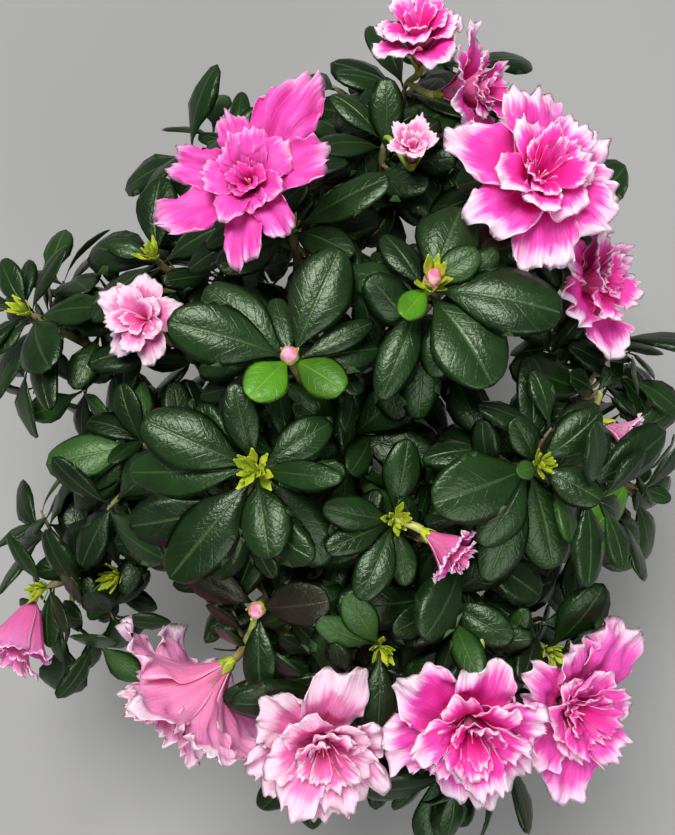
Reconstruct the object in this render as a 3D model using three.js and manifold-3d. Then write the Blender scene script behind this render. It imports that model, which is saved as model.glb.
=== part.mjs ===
// Potted azalea in bloom: a low bushy shrub with double flowers, in a plain round pot.
// Millimetres, +Z up. The origin is the middle of the pot's flat underside.

import * as THREE from 'three';
import { mergeVertices } from 'three/addons/utils/BufferGeometryUtils.js';
import Module from 'manifold-3d';

const wasm = await Module();
wasm.setup();

// Driving dimensions. GAP is kept between separate bodies, and no edge is left shorter than FINEST.
const GAP = 0.3;
const FINEST = 0.03;
const POT = { height: 118, rim: 130, foot: 92, wall: 1.8, base: 3, band: 14, step: 2.2, around: 28 };
const SOIL = { belowRim: 10, mound: 3, heap: 30, clear: 0.5 };
const TRUNK = {
  root: [3, -3], lean: [-3, 4], height: 42, foot: 15, waist: 9.5, top: 8, sides: 12,
  flareEnds: 5, flareLobes: 4, lobeDepth: 0.35,
};

// Limbs, by kind: thickness at each end, the sides of their section, where along their carrier they start,
// and how far they follow the carrier before they turn away. "upturn" bends their tips towards the light.
const BOUGH = { foot: 5.4, tip: 3.9, sides: 6, start: 0.8, level: 0.5, upturn: 0.45 };
const BRANCH = { foot: 3.7, tip: 2.7, sides: 5, start: 0.97, follow: 0.5, upturn: 0.45 };
const STEM = { foot: 2.6, tip: 1.9, sides: 3, start: 0.98, follow: 0.4, upturn: 0.9 };
const FORK = { foot: 1.9, tip: 1.4, sides: 3, start: 0.3 };
const TWIG = { foot: 1.6, tip: 1.4, sides: 3, upturn: 0.7 };
const BOW = 0.35;

// Side twigs: the stretch of the stem that they start on, the fan that they spread in, their slope and
// reach, and the leaves they carry. Slopes and turns are in degrees.
const SIDE = {
  from: 0.34, stretch: 0.5, jitter: 0.6, fan: 200, sway: 34, rise: -36, sweep: 34, inner: 46,
  reach: [28, 42], leaves: 4, scale: 0.95,
};

// Leaves: those nearest the tip rise, and each further one lies lower, to "lowest". "sections" gives the
// place along the leaf, the share of the full breadth and the keel below. "turn" is the angle from leaf to
// leaf, and "tries" the small changes of bearing and lift that are tried where a leaf would meet another.
const LEAF = {
  length: 42, width: 0.54, vary: 0.3, rise: 26, fall: 7, lowest: -52, below: 1.5, spacing: 1.7, crowd: 0.8,
  bend: 0.6, arch: 0.25, root: -0.015, blade: 0.16, turn: 137.5,
  sections: [[0.36, 0.72, 1.4], [0.76, 1, 0.8]],
  tries: [[0, 0], [0, 8], [0, -9], [10, 4], [-10, -4], [18, -14], [-18, 12]],
};
const BUD = { small: [13, 6.5], large: [17, 12], sunk: 0.7 };
const BLOOM = {
  thick: 1.3, around: 14, rings: 3, smallAround: 12, smallRings: 2, smallReach: 20, flatDepth: 20,
  ruffle: 2.4, notch: 0.2, stalkFoot: 1.1, stalkTip: 1.7, stalkSides: 4, sunk: 1.2,
  innerRise: 0.6, innerDepth: 1.25, innerAround: 7, innerRuffle: 2,
};
const SEED = 21;
const SEEDS_A_MASS = 100;

// The view from above that places are read in: a point is named by where it shows, [across, down] in
// a frame of this width and height, and by its height above the underside of the pot.
const VIEW = { width: 675, height: 835, focal: 1200, distance: 540, tilt: 79, middle: [0, 0, 245] };
const CROWN_HEART = new THREE.Vector3(0, 0, 165);
const UP = new THREE.Vector3(0, 0, 1);

const COLOUR = {
  pot: 0x8f4a30,
  soil: 0x2d2019,
  bark: 0x6a5340,
  leaf: 0x23402a,
  petal: 0xe763ae,
};

// Limbs: what each one grows from and where its tip lies
const LIMBS = {
  bough_middle: { from: 'trunk', to: [-4, 2, 232] },
  bough_back_left: { from: 'trunk', to: [-30, 54, 203] },
  bough_back_right: { from: 'trunk', to: [36, 56, 206] },
  bough_right: { from: 'trunk', to: [60, -10, 198] },
  bough_front: { from: 'trunk', to: [8, -58, 198] },
  bough_left: { from: 'trunk', to: [-62, -6, 192] },
  branch_middle_right: { from: 'bough_middle', to: [17, 20, 266] },
  branch_middle_left: { from: 'bough_middle', to: [-20, -20, 258] },
  branch_back_middle: { from: 'bough_back_left', to: [-18, 68, 246] },
  branch_back_left: { from: 'bough_back_left', to: [-50, 98, 212] },
  branch_back: { from: 'bough_back_right', to: [20, 94, 234] },
  branch_back_right: { from: 'bough_back_right', to: [66, 84, 230] },
  branch_right_upper: { from: 'bough_right', to: [66, -24, 250] },
  branch_right_outer: { from: 'bough_right', to: [100, 8, 205] },
  branch_front_right: { from: 'bough_front', to: [46, -84, 216] },
  branch_front_left: { from: 'bough_front', to: [-24, -82, 220] },
  branch_left_far: { from: 'bough_left', to: [-102, 32, 200] },
  branch_left_low: { from: 'bough_left', to: [-94, -44, 176] },
};

// Masses of foliage. The first shoot of each grows on from its limb, the others fork from that stem.
// A shoot's leaves are [bearing in degrees, length, width over length], upper ones first; "more" is how
// many the rule adds below them, and "side" how many small side twigs it adds on the stem.
const MASSES = {
  foliage_top_left: { on: 'bough_middle', side: 1, shoots: [
    { seen: [290, 357], height: 325, bud: 'small', more: 2, leaves: [
      [234, 26, 0.7], [326, 28, 0.62], [163, 50, 0.5], [64, 48, 0.54], [138, 46, 0.45], [25, 36, 0.32],
      [106, 30, 0.42]] },
    { seen: [350, 440], height: 272, more: 1, leaves: [
      [150, 42, 0.5], [40, 44, 0.54], [270, 42, 0.5], [345, 40, 0.5], [215, 40, 0.5]] }] },
  foliage_top_right: { on: 'branch_middle_right', side: 1, shoots: [
    { seen: [430, 285], height: 330, bud: 'small', more: 2, leaves: [
      [233, 24, 0.5], [36, 24, 0.6], [70, 37, 0.74], [348, 53, 0.54], [304, 46, 0.68], [121, 30, 0.5],
      [246, 46, 0.36], [158, 34, 0.5]] }] },
  foliage_left_front: { on: 'branch_middle_left', side: 1, shoots: [
    { seen: [255, 470], height: 315, bud: 'small', more: 2, leaves: [
      [354, 40, 0.3], [102, 36, 0.4], [283, 36, 0.6], [156, 49, 0.5], [182, 54, 0.4], [232, 56, 0.47],
      [37, 34, 0.5]] }] },
  foliage_right_front: { on: 'branch_right_upper', side: 1, shoots: [
    { seen: [540, 465], height: 305, bud: 'small', more: 2, leaves: [
      [197, 14, 0.6], [130, 24, 0.55], [40, 34, 0.5], [332, 30, 0.55], [200, 47, 0.62], [90, 45, 0.3],
      [238, 38, 0.55], [289, 46, 0.54], [252, 50, 0.42]] }] },
  foliage_front_inner: { on: 'bough_front', side: 2, shoots: [
    { seen: [395, 520], height: 290, bud: 'small', more: 2, leaves: [
      [170, 35, 0.42], [198, 33, 0.4], [246, 36, 0.46], [80, 34, 0.5], [284, 28, 0.45]] },
    { seen: [445, 600], height: 262, more: 2, leaves: [[200, 30, 0.5], [330, 34, 0.5]] }] },
  foliage_far_left: { on: 'branch_left_far', side: 2, shoots: [
    { seen: [28, 312], height: 225, bud: 'small', more: 2, leaves: [
      [107, 31, 0.5], [25, 42, 0.42], [227, 26, 0.5], [298, 44, 0.6], [345, 46, 0.36], [285, 52, 0.34]] }] },
  foliage_left_back: { on: 'bough_back_left', side: 2, shoots: [
    { seen: [155, 258], height: 255, bud: 'small', more: 3, leaves: [[163, 24, 0.45], [84, 40, 0.53]] },
    { seen: [172, 345], height: 240, more: 4, leaves: [] }] },
  foliage_back_inner_left: { on: 'branch_back_middle', side: 1, shoots: [
    { seen: [292, 230], height: 293, bud: 'small', more: 2, leaves: [
      [12, 48, 0.42], [322, 36, 0.5], [215, 38, 0.5]] }] },
  foliage_back_inner: { on: 'branch_back', side: 1, shoots: [
    { seen: [385, 140], height: 282, more: 3, leaves: [
      [306, 38, 0.5], [141, 32, 0.45], [100, 30, 0.6], [200, 34, 0.5]] }] },
  foliage_back: { on: 'branch_back', side: 2, shoots: [
    { seen: [405, 88], height: 258, more: 3, leaves: [[124, 36, 0.5], [318, 40, 0.46], [180, 34, 0.5]] }] },
  foliage_back_right: { on: 'branch_back_right', side: 2, shoots: [
    { seen: [505, 180], height: 284, more: 4, leaves: [[170, 34, 0.5], [215, 34, 0.5]] }] },
  foliage_back_low: { on: 'branch_back_right', side: 2, shoots: [
    { seen: [470, 60], height: 205, more: 5, leaves: [] }] },
  foliage_back_left: { on: 'branch_back_left', side: 2, shoots: [
    { seen: [240, 145], height: 240, more: 4, leaves: [[88, 30, 0.34], [62, 26, 0.42], [150, 24, 0.45]] }] },
  foliage_front_middle: { on: 'branch_front_left', side: 1, shoots: [
    { seen: [380, 648], height: 262, bud: 'small', more: 3, leaves: [
      [117, 33, 0.45], [270, 37, 0.4], [150, 34, 0.4]] }] },
  foliage_front_left: { on: 'branch_front_left', side: 1, shoots: [
    { seen: [258, 608], height: 268, bud: 'small', more: 2, leaves: [
      [15, 34, 0.66], [275, 38, 0.4], [150, 36, 0.5]] },
    { seen: [308, 690], height: 234, more: 3, leaves: [] }] },
  foliage_front_right: { on: 'branch_front_right', side: 1, shoots: [
    { seen: [480, 635], height: 262, more: 3, leaves: [[75, 30, 0.34], [40, 36, 0.3], [120, 34, 0.4]] },
    { seen: [548, 650], height: 238, bud: 'large', more: 3, leaves: [] }] },
  foliage_left_corner: { on: 'branch_left_low', side: 2, shoots: [
    { seen: [45, 588], height: 188, bud: 'small', more: 2, leaves: [
      [103, 34, 0.38], [330, 30, 0.46], [280, 30, 0.5]] }] },
  foliage_left_low: { on: 'branch_left_low', side: 1, shoots: [
    { seen: [118, 575], height: 205, bud: 'small', more: 2, leaves: [
      [20, 26, 0.4], [240, 28, 0.4], [100, 26, 0.4]] },
    { seen: [85, 525], height: 190, more: 2, leaves: [[60, 22, 0.45]] }] },
  foliage_left: { on: 'bough_left', side: 2, shoots: [
    { seen: [140, 445], height: 240, more: 3, leaves: [[194, 44, 0.5], [100, 30, 0.5], [215, 34, 0.4]] },
    { seen: [200, 540], height: 225, more: 3, leaves: [] }] },
  foliage_right: { on: 'branch_right_outer', side: 2, shoots: [
    { seen: [598, 392], height: 245, more: 4, leaves: [[60, 20, 0.6], [170, 22, 0.6], [310, 24, 0.5]] }] },
  foliage_right_twig: { on: 'branch_right_outer', side: 2, shoots: [
    { seen: [640, 488], height: 195, more: 1, leaves: [[338, 19, 0.46], [235, 14, 0.5], [40, 14, 0.4]] }] },
  foliage_right_low: { on: 'bough_right', side: 2, shoots: [
    { seen: [575, 545], height: 225, more: 4, leaves: [[60, 36, 0.6], [255, 30, 0.5]] }] },
  foliage_right_back: { on: 'branch_right_outer', side: 2, shoots: [
    { seen: [572, 300], height: 246, more: 3, leaves: [[88, 26, 0.8], [70, 34, 0.5], [330, 34, 0.5]] }] },
  foliage_front_low_left: { on: 'bough_front', side: 3, shoots: [
    { seen: [300, 762], height: 178, more: 3, leaves: [[284, 36, 0.46], [236, 34, 0.5], [320, 32, 0.45]] }] },
  foliage_front_low_right: { on: 'branch_front_right', side: 3, shoots: [
    { seen: [435, 770], height: 180, more: 3, leaves: [[262, 42, 0.5], [296, 38, 0.5], [222, 30, 0.45]] }] },
};

// Blooms: the shoot that carries each one, where its heart shows, which way it faces (bearing and
// elevation in degrees), how deep its funnel is, how far the inner petals reach against the outer ones
// ("frill"), and the outer lobes as [bearing, reach].
const BLOOMS = {
  bloom_back: {
    on: ['foliage_back', 0], seen: [422, 44], height: 284, faces: [95, 58], depth: 24, frill: 0.8,
    lobes: [[20, 22], [90, 24], [160, 23], [230, 24], [300, 24]],
  },
  bloom_back_side: {
    on: ['foliage_back', 0], seen: [456, 92], height: 276, faces: [352, 30], depth: 24, frill: 0.5,
    lobes: [[0, 22], [75, 30], [150, 22], [225, 22], [290, 28]],
  },
  bloom_back_left: {
    on: ['foliage_back_inner_left', 0], seen: [253, 188], height: 325, faces: [200, 80], depth: 17,
    frill: 0.4,
    lobes: [[15, 33], [66, 48], [100, 31], [157, 34], [210, 39], [259, 33], [310, 27]],
  },
  bloom_back_right: {
    on: ['foliage_back_right', 0], seen: [534, 184], height: 322, faces: [10, 78], depth: 17, frill: 0.55,
    lobes: [[31, 33], [87, 40], [160, 39], [228, 34], [277, 37], [328, 33], [358, 33]],
  },
  bloom_right: {
    on: ['foliage_right_back', 0], seen: [590, 290], height: 266, faces: [355, 42], depth: 18, frill: 0.5,
    lobes: [[20, 30], [80, 32], [150, 28], [215, 30], [285, 34]],
  },
  bloom_small_back: {
    on: ['foliage_back_inner', 0], seen: [412, 157], height: 302, faces: [100, 78], depth: 15, frill: 0.7,
    lobes: [[0, 10], [72, 11], [144, 10], [216, 11], [288, 10]],
  },
  bloom_left: {
    on: ['foliage_left_back', 1], seen: [147, 320], height: 263, faces: [215, 70], depth: 13, frill: 0.7,
    lobes: [[10, 19], [85, 19], [150, 21], [215, 20], [290, 20]],
  },
  bloom_left_corner: {
    on: ['foliage_left_corner', 0], seen: [26, 632], height: 190, faces: [255, 12], depth: 27, frill: 0.7,
    lobes: [[20, 15], [90, 17], [160, 15], [235, 17], [300, 16]],
  },
  bloom_front_left: {
    on: ['foliage_front_left', 0], seen: [208, 682], height: 240, faces: [218, -4], depth: 36, frill: 0.35,
    lobes: [[0, 44], [60, 38], [125, 38], [180, 43], [240, 38], [300, 40]],
  },
  bloom_front: {
    on: ['foliage_front_left', 1], seen: [322, 736], height: 248, faces: [275, 54], depth: 17, frill: 0.7,
    lobes: [[10, 30], [80, 38], [135, 33], [200, 33], [262, 35], [320, 34]],
  },
  bloom_front_right: {
    on: ['foliage_front_right', 0], seen: [470, 718], height: 262, faces: [268, 55], depth: 17, frill: 0.65,
    lobes: [[15, 31], [75, 33], [140, 38], [200, 37], [265, 38], [320, 34]],
  },
  bloom_front_corner: {
    on: ['foliage_front_right', 1], seen: [574, 706], height: 242, faces: [322, 56], depth: 18, frill: 0.6,
    lobes: [[48, 44], [95, 34], [145, 34], [210, 30], [265, 38], [335, 28]],
  },
  bloom_small_front: {
    on: ['foliage_front_inner', 0], seen: [438, 542], height: 296, faces: [322, 12], depth: 19, frill: 0.5,
    lobes: [[0, 13], [72, 14], [144, 12], [216, 14], [288, 13]],
  },
  bloom_small_right: {
    on: ['foliage_right', 0], seen: [613, 428], height: 232, faces: [330, 16], depth: 18, frill: 0.5,
    lobes: [[0, 11], [72, 12], [144, 11], [216, 12], [288, 11]],
  },
};

const degrees = THREE.MathUtils.degToRad;
const vector = (list) => new THREE.Vector3(...list);
const toward = (from, to) => to.clone().sub(from).normalize();
const turnedUp = (way, upturn) => way.clone().addScaledVector(UP, upturn).normalize();

// A steady stream of numbers from 0 to 1, the same each time
function dice(seed) {
  let state = seed;
  return () => {
    state = (state + 0x6d2b79f5) | 0;
    let mixed = Math.imul(state ^ (state >>> 15), 1 | state);
    mixed = (mixed + Math.imul(mixed ^ (mixed >>> 7), 61 | mixed)) ^ mixed;
    return ((mixed ^ (mixed >>> 14)) >>> 0) / 4294967296;
  };
}

// The point at a height that shows at a place in the view
function spot([across, down], height) {
  const tilt = degrees(VIEW.tilt);
  const ahead = new THREE.Vector3(0, Math.cos(tilt), -Math.sin(tilt));
  const upward = new THREE.Vector3(0, Math.sin(tilt), Math.cos(tilt));
  const eye = vector(VIEW.middle).addScaledVector(ahead, -VIEW.distance);
  const ray = ahead.clone()
    .add(new THREE.Vector3((across - VIEW.width / 2) / VIEW.focal, 0, 0))
    .addScaledVector(upward, (VIEW.height / 2 - down) / VIEW.focal);
  return eye.addScaledVector(ray, (height - eye.z) / ray.z);
}

// A direction from its bearing and its elevation, both in radians
function heading(bearing, elevation) {
  const level = Math.cos(elevation);
  return new THREE.Vector3(level * Math.cos(bearing), level * Math.sin(bearing), Math.sin(elevation));
}

// Three square directions, the third along an axis, the first as near to the view's right as it can be
function frameOn(axis) {
  const z = axis.clone().normalize();
  const x = new THREE.Vector3(1, 0, 0).addScaledVector(z, -z.x).normalize();
  return { x, y: z.clone().cross(x), z };
}

// A solid from its corners and the corners of its faces
function fromFaces(vertices, faces) {
  return new wasm.Manifold(new wasm.Mesh({
    numProp: 3,
    vertProperties: Float32Array.from(vertices),
    triVerts: Uint32Array.from(faces),
  }));
}

// Closed geometry to a solid that can be joined and cut
function solid(geometry) {
  const bare = geometry.clone();
  bare.deleteAttribute('normal');
  bare.deleteAttribute('uv');
  const merged = mergeVertices(bare, 1e-4);
  return fromFaces(merged.attributes.position.array, merged.index.array);
}

// The largest piece of a solid, which drops loose scraps and fills sealed hollows, with no hair-thin edges
function whole(shape) {
  const pieces = shape.simplify(FINEST).decompose();
  return pieces.reduce((best, piece) => (piece.volume() > best.volume() ? piece : best));
}

// Every vertex of a geometry moved by a function of where it was
function reshape(geometry, move) {
  const place = geometry.attributes.position;
  for (let i = 0; i < place.count; i += 1) {
    const moved = move(place.getX(i), place.getY(i), place.getZ(i));
    place.setXYZ(i, moved.x, moved.y, moved.z);
  }
  return geometry;
}

// The path of a limb: it leaves along one direction and arrives along another
function sweep(start, leave, end, arrive) {
  const handle = start.distanceTo(end) * BOW;
  return new THREE.CubicBezierCurve3(
    start,
    start.clone().addScaledVector(leave, handle),
    end.clone().addScaledVector(arrive, -handle),
    end,
  );
}

// A tapering limb: a cylinder bent along a curve, thicker by "grown" all round, with root lobes if any
function limb(curve, size, { grown = 0, steps = 3, lobes = () => 1 } = {}) {
  const rough = toward(curve.getPoint(0), curve.getPoint(1));
  const side = Math.abs(rough.z) > 0.9 ? new THREE.Vector3(0, 1, 0) : rough.clone().cross(UP).normalize();
  const tube = new THREE.CylinderGeometry(1, 1, 1, size.sides, steps).rotateX(Math.PI / 2);
  return solid(reshape(tube, (x, y, z) => {
    const along = THREE.MathUtils.clamp(z + 0.5, 0, 1);
    const ahead = curve.getTangent(along);
    const down = ahead.clone().cross(side).normalize();
    const out = down.clone().cross(ahead);
    const radius = (size.foot + (size.tip - size.foot) * along) * lobes(along, Math.atan2(y, x)) + grown;
    const beyond = along === 0 ? -grown : (along === 1 ? grown : 0);
    return curve.getPoint(along).addScaledVector(ahead, beyond)
      .addScaledVector(out, x * radius).addScaledVector(down, y * radius);
  }));
}

// A leaf: a point sunk in its twig, broadest past the middle, three-sided in section with a keel below,
// set by a bearing about the shoot and a lift above its cross plane, and bent down along its length.
// "grown" makes it thicker all round, and "from" leaves out that part of it next to the twig.
function leaf({ at, frame, bearing, lift, length, width }, { grown = 0, from = LEAF.root } = {}) {
  const out = frame.x.clone().multiplyScalar(Math.cos(bearing)).addScaledVector(frame.y, Math.sin(bearing));
  const across = frame.z.clone().cross(out);
  const centre = (along, beyond) => {
    const climb = lift + LEAF.bend * LEAF.arch * (1 - along);
    return at.clone()
      .addScaledVector(out, length * along * Math.cos(climb) + beyond)
      .addScaledVector(frame.z, length * along * Math.sin(climb));
  };
  const corners = [centre(from, 0)];
  for (const [along, breadth, keel] of LEAF.sections) {
    const slope = lift + LEAF.bend * (0.5 - along);
    const above = frame.z.clone().multiplyScalar(Math.cos(slope)).addScaledVector(out, -Math.sin(slope));
    const half = length * width * 0.5 * breadth + grown;
    for (const [sideways, upward] of [[half, grown], [-half, grown], [0, -keel - grown]]) {
      corners.push(centre(along, 0).addScaledVector(across, sideways).addScaledVector(above, upward));
    }
  }
  corners.push(centre(1, grown));
  const faces = [0, 2, 1, 0, 3, 2, 0, 1, 3, 4, 5, 7, 5, 6, 7, 6, 4, 7];
  for (let k = 0; k < 3; k += 1) {
    const next = (k + 1) % 3;
    faces.push(1 + k, 1 + next, 4 + k, 1 + next, 4 + next, 4 + k);
  }
  return fromFaces(corners.flatMap((corner) => corner.toArray()), faces);
}

// A thin sheet in the shape of a funnel: a ball pressed flat, so that it is closed along its margin.
// "outline" gives how far the margin reaches at a turn, and a flat funnel opens late and lies level.
function funnel({ base, frame, outline, depth, flat, ruffle, around, rings }) {
  const across = (out) => out ** (flat ? 1.35 : 0.9);
  const climb = (out) => depth * Math.sin(Math.min(1, out * 1.15) * Math.PI * 0.5) ** 0.8;
  const waves = Math.floor(around / 2);
  const step = 0.02;
  const ball = new THREE.SphereGeometry(1, around, 2 * rings).rotateX(Math.PI / 2);
  return solid(reshape(ball, (x, y, z) => {
    const turn = Math.atan2(y, x);
    const polar = Math.acos(THREE.MathUtils.clamp(z, -1, 1)) / (Math.PI / 2);
    const out = polar > 1 ? 2 - polar : polar;
    const pole = out < 1e-6;
    const face = Math.abs(z) < 1e-6 ? 0 : Math.sign(z);
    const reach = outline(turn);
    const rise = climb(out + step) - climb(Math.max(0, out - step));
    const run = reach * (across(out + step) - across(Math.max(0, out - step)));
    const slope = Math.atan2(rise, run);
    const half = pole ? 0 : face * BLOOM.thick * 0.5;
    const radius = reach * across(out) - half * Math.sin(slope);
    const wave = ruffle * out * out * Math.sin(turn * waves + 1);
    const height = climb(out) + wave + half * Math.cos(slope) + (pole ? face : 0);
    return base.clone().addScaledVector(frame.x, radius * Math.cos(turn))
      .addScaledVector(frame.y, radius * Math.sin(turn)).addScaledVector(frame.z, height);
  }));
}

// How far a corolla reaches at a turn: from lobe to lobe, with a notch between them
function lobed(lobes, scale) {
  const round = Math.PI * 2;
  return (turn) => {
    const angle = (turn + round) % round;
    const k = lobes.findLastIndex(([bearing]) => degrees(bearing) <= angle);
    const [before, after] = [lobes.at(k < 0 ? -1 : k), lobes[(k + 1) % lobes.length]];
    const span = (degrees(after[0] - before[0]) + round) % round;
    const part = ((angle - degrees(before[0]) + round) % round) / span;
    const blend = before[1] + (after[1] - before[1]) * THREE.MathUtils.smoothstep(part, 0, 1);
    return scale * blend * (1 - BLOOM.notch * Math.sin(Math.PI * part) ** 4);
  };
}

// A bud: a small pointed egg standing on a shoot
function bud(at, axis, [length, width]) {
  const frame = frameOn(axis);
  const egg = new THREE.SphereGeometry(1, 5, 3).rotateX(Math.PI / 2);
  return solid(reshape(egg, (x, y, z) => at.clone()
    .addScaledVector(frame.x, x * width * 0.5).addScaledVector(frame.y, y * width * 0.5)
    .addScaledVector(frame.z, (z + BUD.sunk) * length * 0.5)));
}

// The radius of the pot's outer wall at a height, below its band
function potRadius(z) {
  const under = POT.height - POT.band;
  return POT.foot / 2 + (POT.rim / 2 - POT.step - POT.foot / 2) * (z / under);
}

// A turned solid from its half profile, [radius, height] from the middle of the underside round to the top
function turned(profile) {
  const points = profile.map(([radius, z]) => new THREE.Vector2(radius, z));
  return solid(new THREE.LatheGeometry(points, POT.around).rotateX(Math.PI / 2));
}

// The pot: a tapering wall with a plain band under the rim, open at the top
function makePot() {
  const under = POT.height - POT.band;
  const inner = potRadius(under) - POT.wall;
  return turned([
    [0, 0], [POT.foot / 2, 0], [potRadius(under), under], [POT.rim / 2, under + 1],
    [POT.rim / 2 + 0.4, POT.height - 1], [POT.rim / 2 - 0.6, POT.height], [inner + 1, POT.height],
    [inner, under - 4], [POT.foot / 2 - POT.wall, POT.base], [0, POT.base],
  ]);
}

// The root ball: peat that fills the pot to a little below its rim and mounds up to the trunk
function makeSoil() {
  const inner = (z) => potRadius(z) - POT.wall - GAP * 1.5 - SOIL.clear - (z > POT.base + 1 ? 0 : 1);
  const top = POT.height - SOIL.belowRim;
  const shoulder = top - SOIL.mound;
  const low = POT.base + GAP;
  return turned([[0, low], [inner(low), low], [inner(shoulder), shoulder], [SOIL.heap, top], [0, top]]);
}

const nodes = new Map();
const limbs = {};
const masses = {};
const taken = [];

function keep(name, shape, slot, roughness) {
  nodes.set(name, { shape, slot, roughness });
}

// A solid is noted with its owner, and a leaf also with its blade, the part clear of its own twig
function occupy(shape, owner, blade = null) {
  taken.push({ shape, blade: blade ?? shape, box: shape.boundingBox(), owner, isLeaf: blade !== null });
}

// Whether a solid of one owner meets what the others have taken, or with "own" what that owner has
function touches(shape, owner, { own = false, except = null } = {}) {
  const box = shape.boundingBox();
  return taken.some((other) => {
    if ((other.owner === owner) !== own || other.owner === except) {
      return false;
    }
    const apart = [0, 1, 2].some((k) => box.min[k] > other.box.max[k] || box.max[k] < other.box.min[k]);
    return !apart && !shape.intersect(own ? other.blade : other.shape).isEmpty();
  });
}

// The trunk: short, leaning a little, with a lobed root flare on the soil
function makeTrunk() {
  const ground = POT.height - SOIL.belowRim + GAP;
  const foot = new THREE.Vector3(...TRUNK.root, ground);
  const top = new THREE.Vector3(...TRUNK.lean, ground + TRUNK.height);
  const curve = sweep(foot, UP, top, UP);
  const size = { foot: TRUNK.waist, tip: TRUNK.top, sides: TRUNK.sides };
  const flare = TRUNK.foot / TRUNK.waist - 1;
  const lobes = (along, turn) => 1
    + flare * (1 - along) ** TRUNK.flareEnds * (1 + TRUNK.lobeDepth * Math.cos(turn * TRUNK.flareLobes + 1));
  const grown = limb(curve, size, { grown: GAP, steps: 5, lobes });
  limbs.trunk = { curve, grown };
  keep('trunk', limb(curve, size, { steps: 5, lobes }), 'bark', 0.9);
  occupy(grown, 'trunk');
}

// A bough or branch, trimmed clear of the limbs made before it
function makeLimb(name, { from, to }) {
  const carrier = limbs[from].curve;
  const size = from === 'trunk' ? BOUGH : BRANCH;
  const start = carrier.getPoint(size.start);
  const end = vector(to);
  const way = toward(start, end);
  const leave = from === 'trunk'
    ? way.clone().multiply(new THREE.Vector3(1, 1, size.level)).normalize()
    : way.clone().lerp(carrier.getTangent(1), size.follow).normalize();
  const curve = sweep(start, leave, end, turnedUp(way, size.upturn));
  let shape = limb(curve, size);
  for (const other of Object.values(limbs)) {
    shape = shape.subtract(other.grown);
  }
  const grown = limb(curve, size, { grown: GAP });
  limbs[name] = { curve, grown };
  keep(name, whole(shape), 'bark', 0.9);
  occupy(grown, name);
}

// The shoots of a mass, main ones first: each has a path, the axis that its leaves stand around, and its
// own stream of numbers
function setShoots(name, place, { on, side, shoots }) {
  const carrier = limbs[on].curve;
  const seed = (tip) => dice(SEED + SEEDS_A_MASS * place + tip);
  const tips = [];
  shoots.forEach((shoot, k) => {
    const [parent, size] = k === 0 ? [carrier, STEM] : [tips[0].curve, FORK];
    const start = parent.getPoint(size.start);
    const end = spot(shoot.seen, shoot.height);
    const axis = turnedUp(toward(CROWN_HEART, end), STEM.upturn);
    const onward = parent.getTangent(k === 0 ? 1 : size.start);
    const leave = toward(start, end).lerp(onward, STEM.follow).normalize();
    const curve = sweep(start, leave, end, axis);
    tips.push({ ...shoot, curve, axis, size, steps: 3, scale: 1, random: seed(k) });
  });
  const outward = toward(CROWN_HEART, tips[0].curve.getPoint(1));
  for (let k = 0; k < side; k += 1) {
    const random = seed(shoots.length + k);
    const start = tips[0].curve.getPoint(SIDE.from + SIDE.stretch * ((k + random() * SIDE.jitter) / side));
    const spread = degrees(SIDE.fan) * ((k + 0.5) / side - 0.5) + degrees(SIDE.sway) * (random() - 0.5);
    const rise = degrees(SIDE.rise + SIDE.sweep * random() + SIDE.inner * outward.z);
    const reach = SIDE.reach[0] + (SIDE.reach[1] - SIDE.reach[0]) * random();
    const way = heading(Math.atan2(outward.y, outward.x) + spread, rise);
    const curve = new THREE.LineCurve3(start, start.clone().addScaledVector(way, reach));
    const axis = turnedUp(way, TWIG.upturn);
    tips.push({
      isSide: true, more: SIDE.leaves, leaves: [], curve, axis, size: TWIG, steps: 1,
      scale: SIDE.scale, random,
    });
  }
  masses[name] = { on, tips, pieces: [] };
}

// The stems and twigs of a mass; a side twig that would touch another mass is left out
function layTwigs(name) {
  const mass = masses[name];
  mass.tips = mass.tips.filter(({ curve, size, steps, isSide }) => {
    const grown = limb(curve, size, { grown: GAP, steps });
    if (isSide && touches(grown, name, { except: mass.on })) {
      return false;
    }
    mass.pieces.push(limb(curve, size, { steps }));
    occupy(grown, name);
    return true;
  });
}

// A bloom: a ruffled outer funnel, a smaller one inside it, and the stalk that they sit on
function makeBloom(name, { on, seen, height, faces, depth, frill, lobes }) {
  const facing = heading(...faces.map(degrees));
  const frame = frameOn(facing);
  const base = spot(seen, height).addScaledVector(facing, -depth * 0.5);
  const tip = masses[on[0]].tips[on[1]];
  const socket = base.clone().addScaledVector(facing, BLOOM.sunk);
  const stalk = sweep(tip.curve.getPoint(1), tip.axis, socket, facing);
  const small = lobes[0][1] < BLOOM.smallReach;
  const outer = funnel({
    base, frame, depth, outline: lobed(lobes, 1), flat: depth < BLOOM.flatDepth, ruffle: BLOOM.ruffle,
    around: small ? BLOOM.smallAround : BLOOM.around, rings: small ? BLOOM.smallRings : BLOOM.rings,
  });
  const inner = funnel({
    base: base.clone().addScaledVector(facing, BLOOM.innerRise), frame, depth: depth * BLOOM.innerDepth,
    outline: lobed(lobes, frill), flat: false, ruffle: BLOOM.innerRuffle, around: BLOOM.innerAround, rings: 2,
  });
  const stalkSize = { foot: BLOOM.stalkFoot, tip: BLOOM.stalkTip, sides: BLOOM.stalkSides };
  const parts = [limb(stalk, stalkSize, { steps: 2 }), outer, inner];
  let shape = wasm.Manifold.union(parts);
  for (const other of taken) {
    shape = shape.subtract(other.shape);
  }
  keep(name, whole(shape), 'petal', 0.6);
  parts.forEach((part) => occupy(part, name));
}

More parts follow.
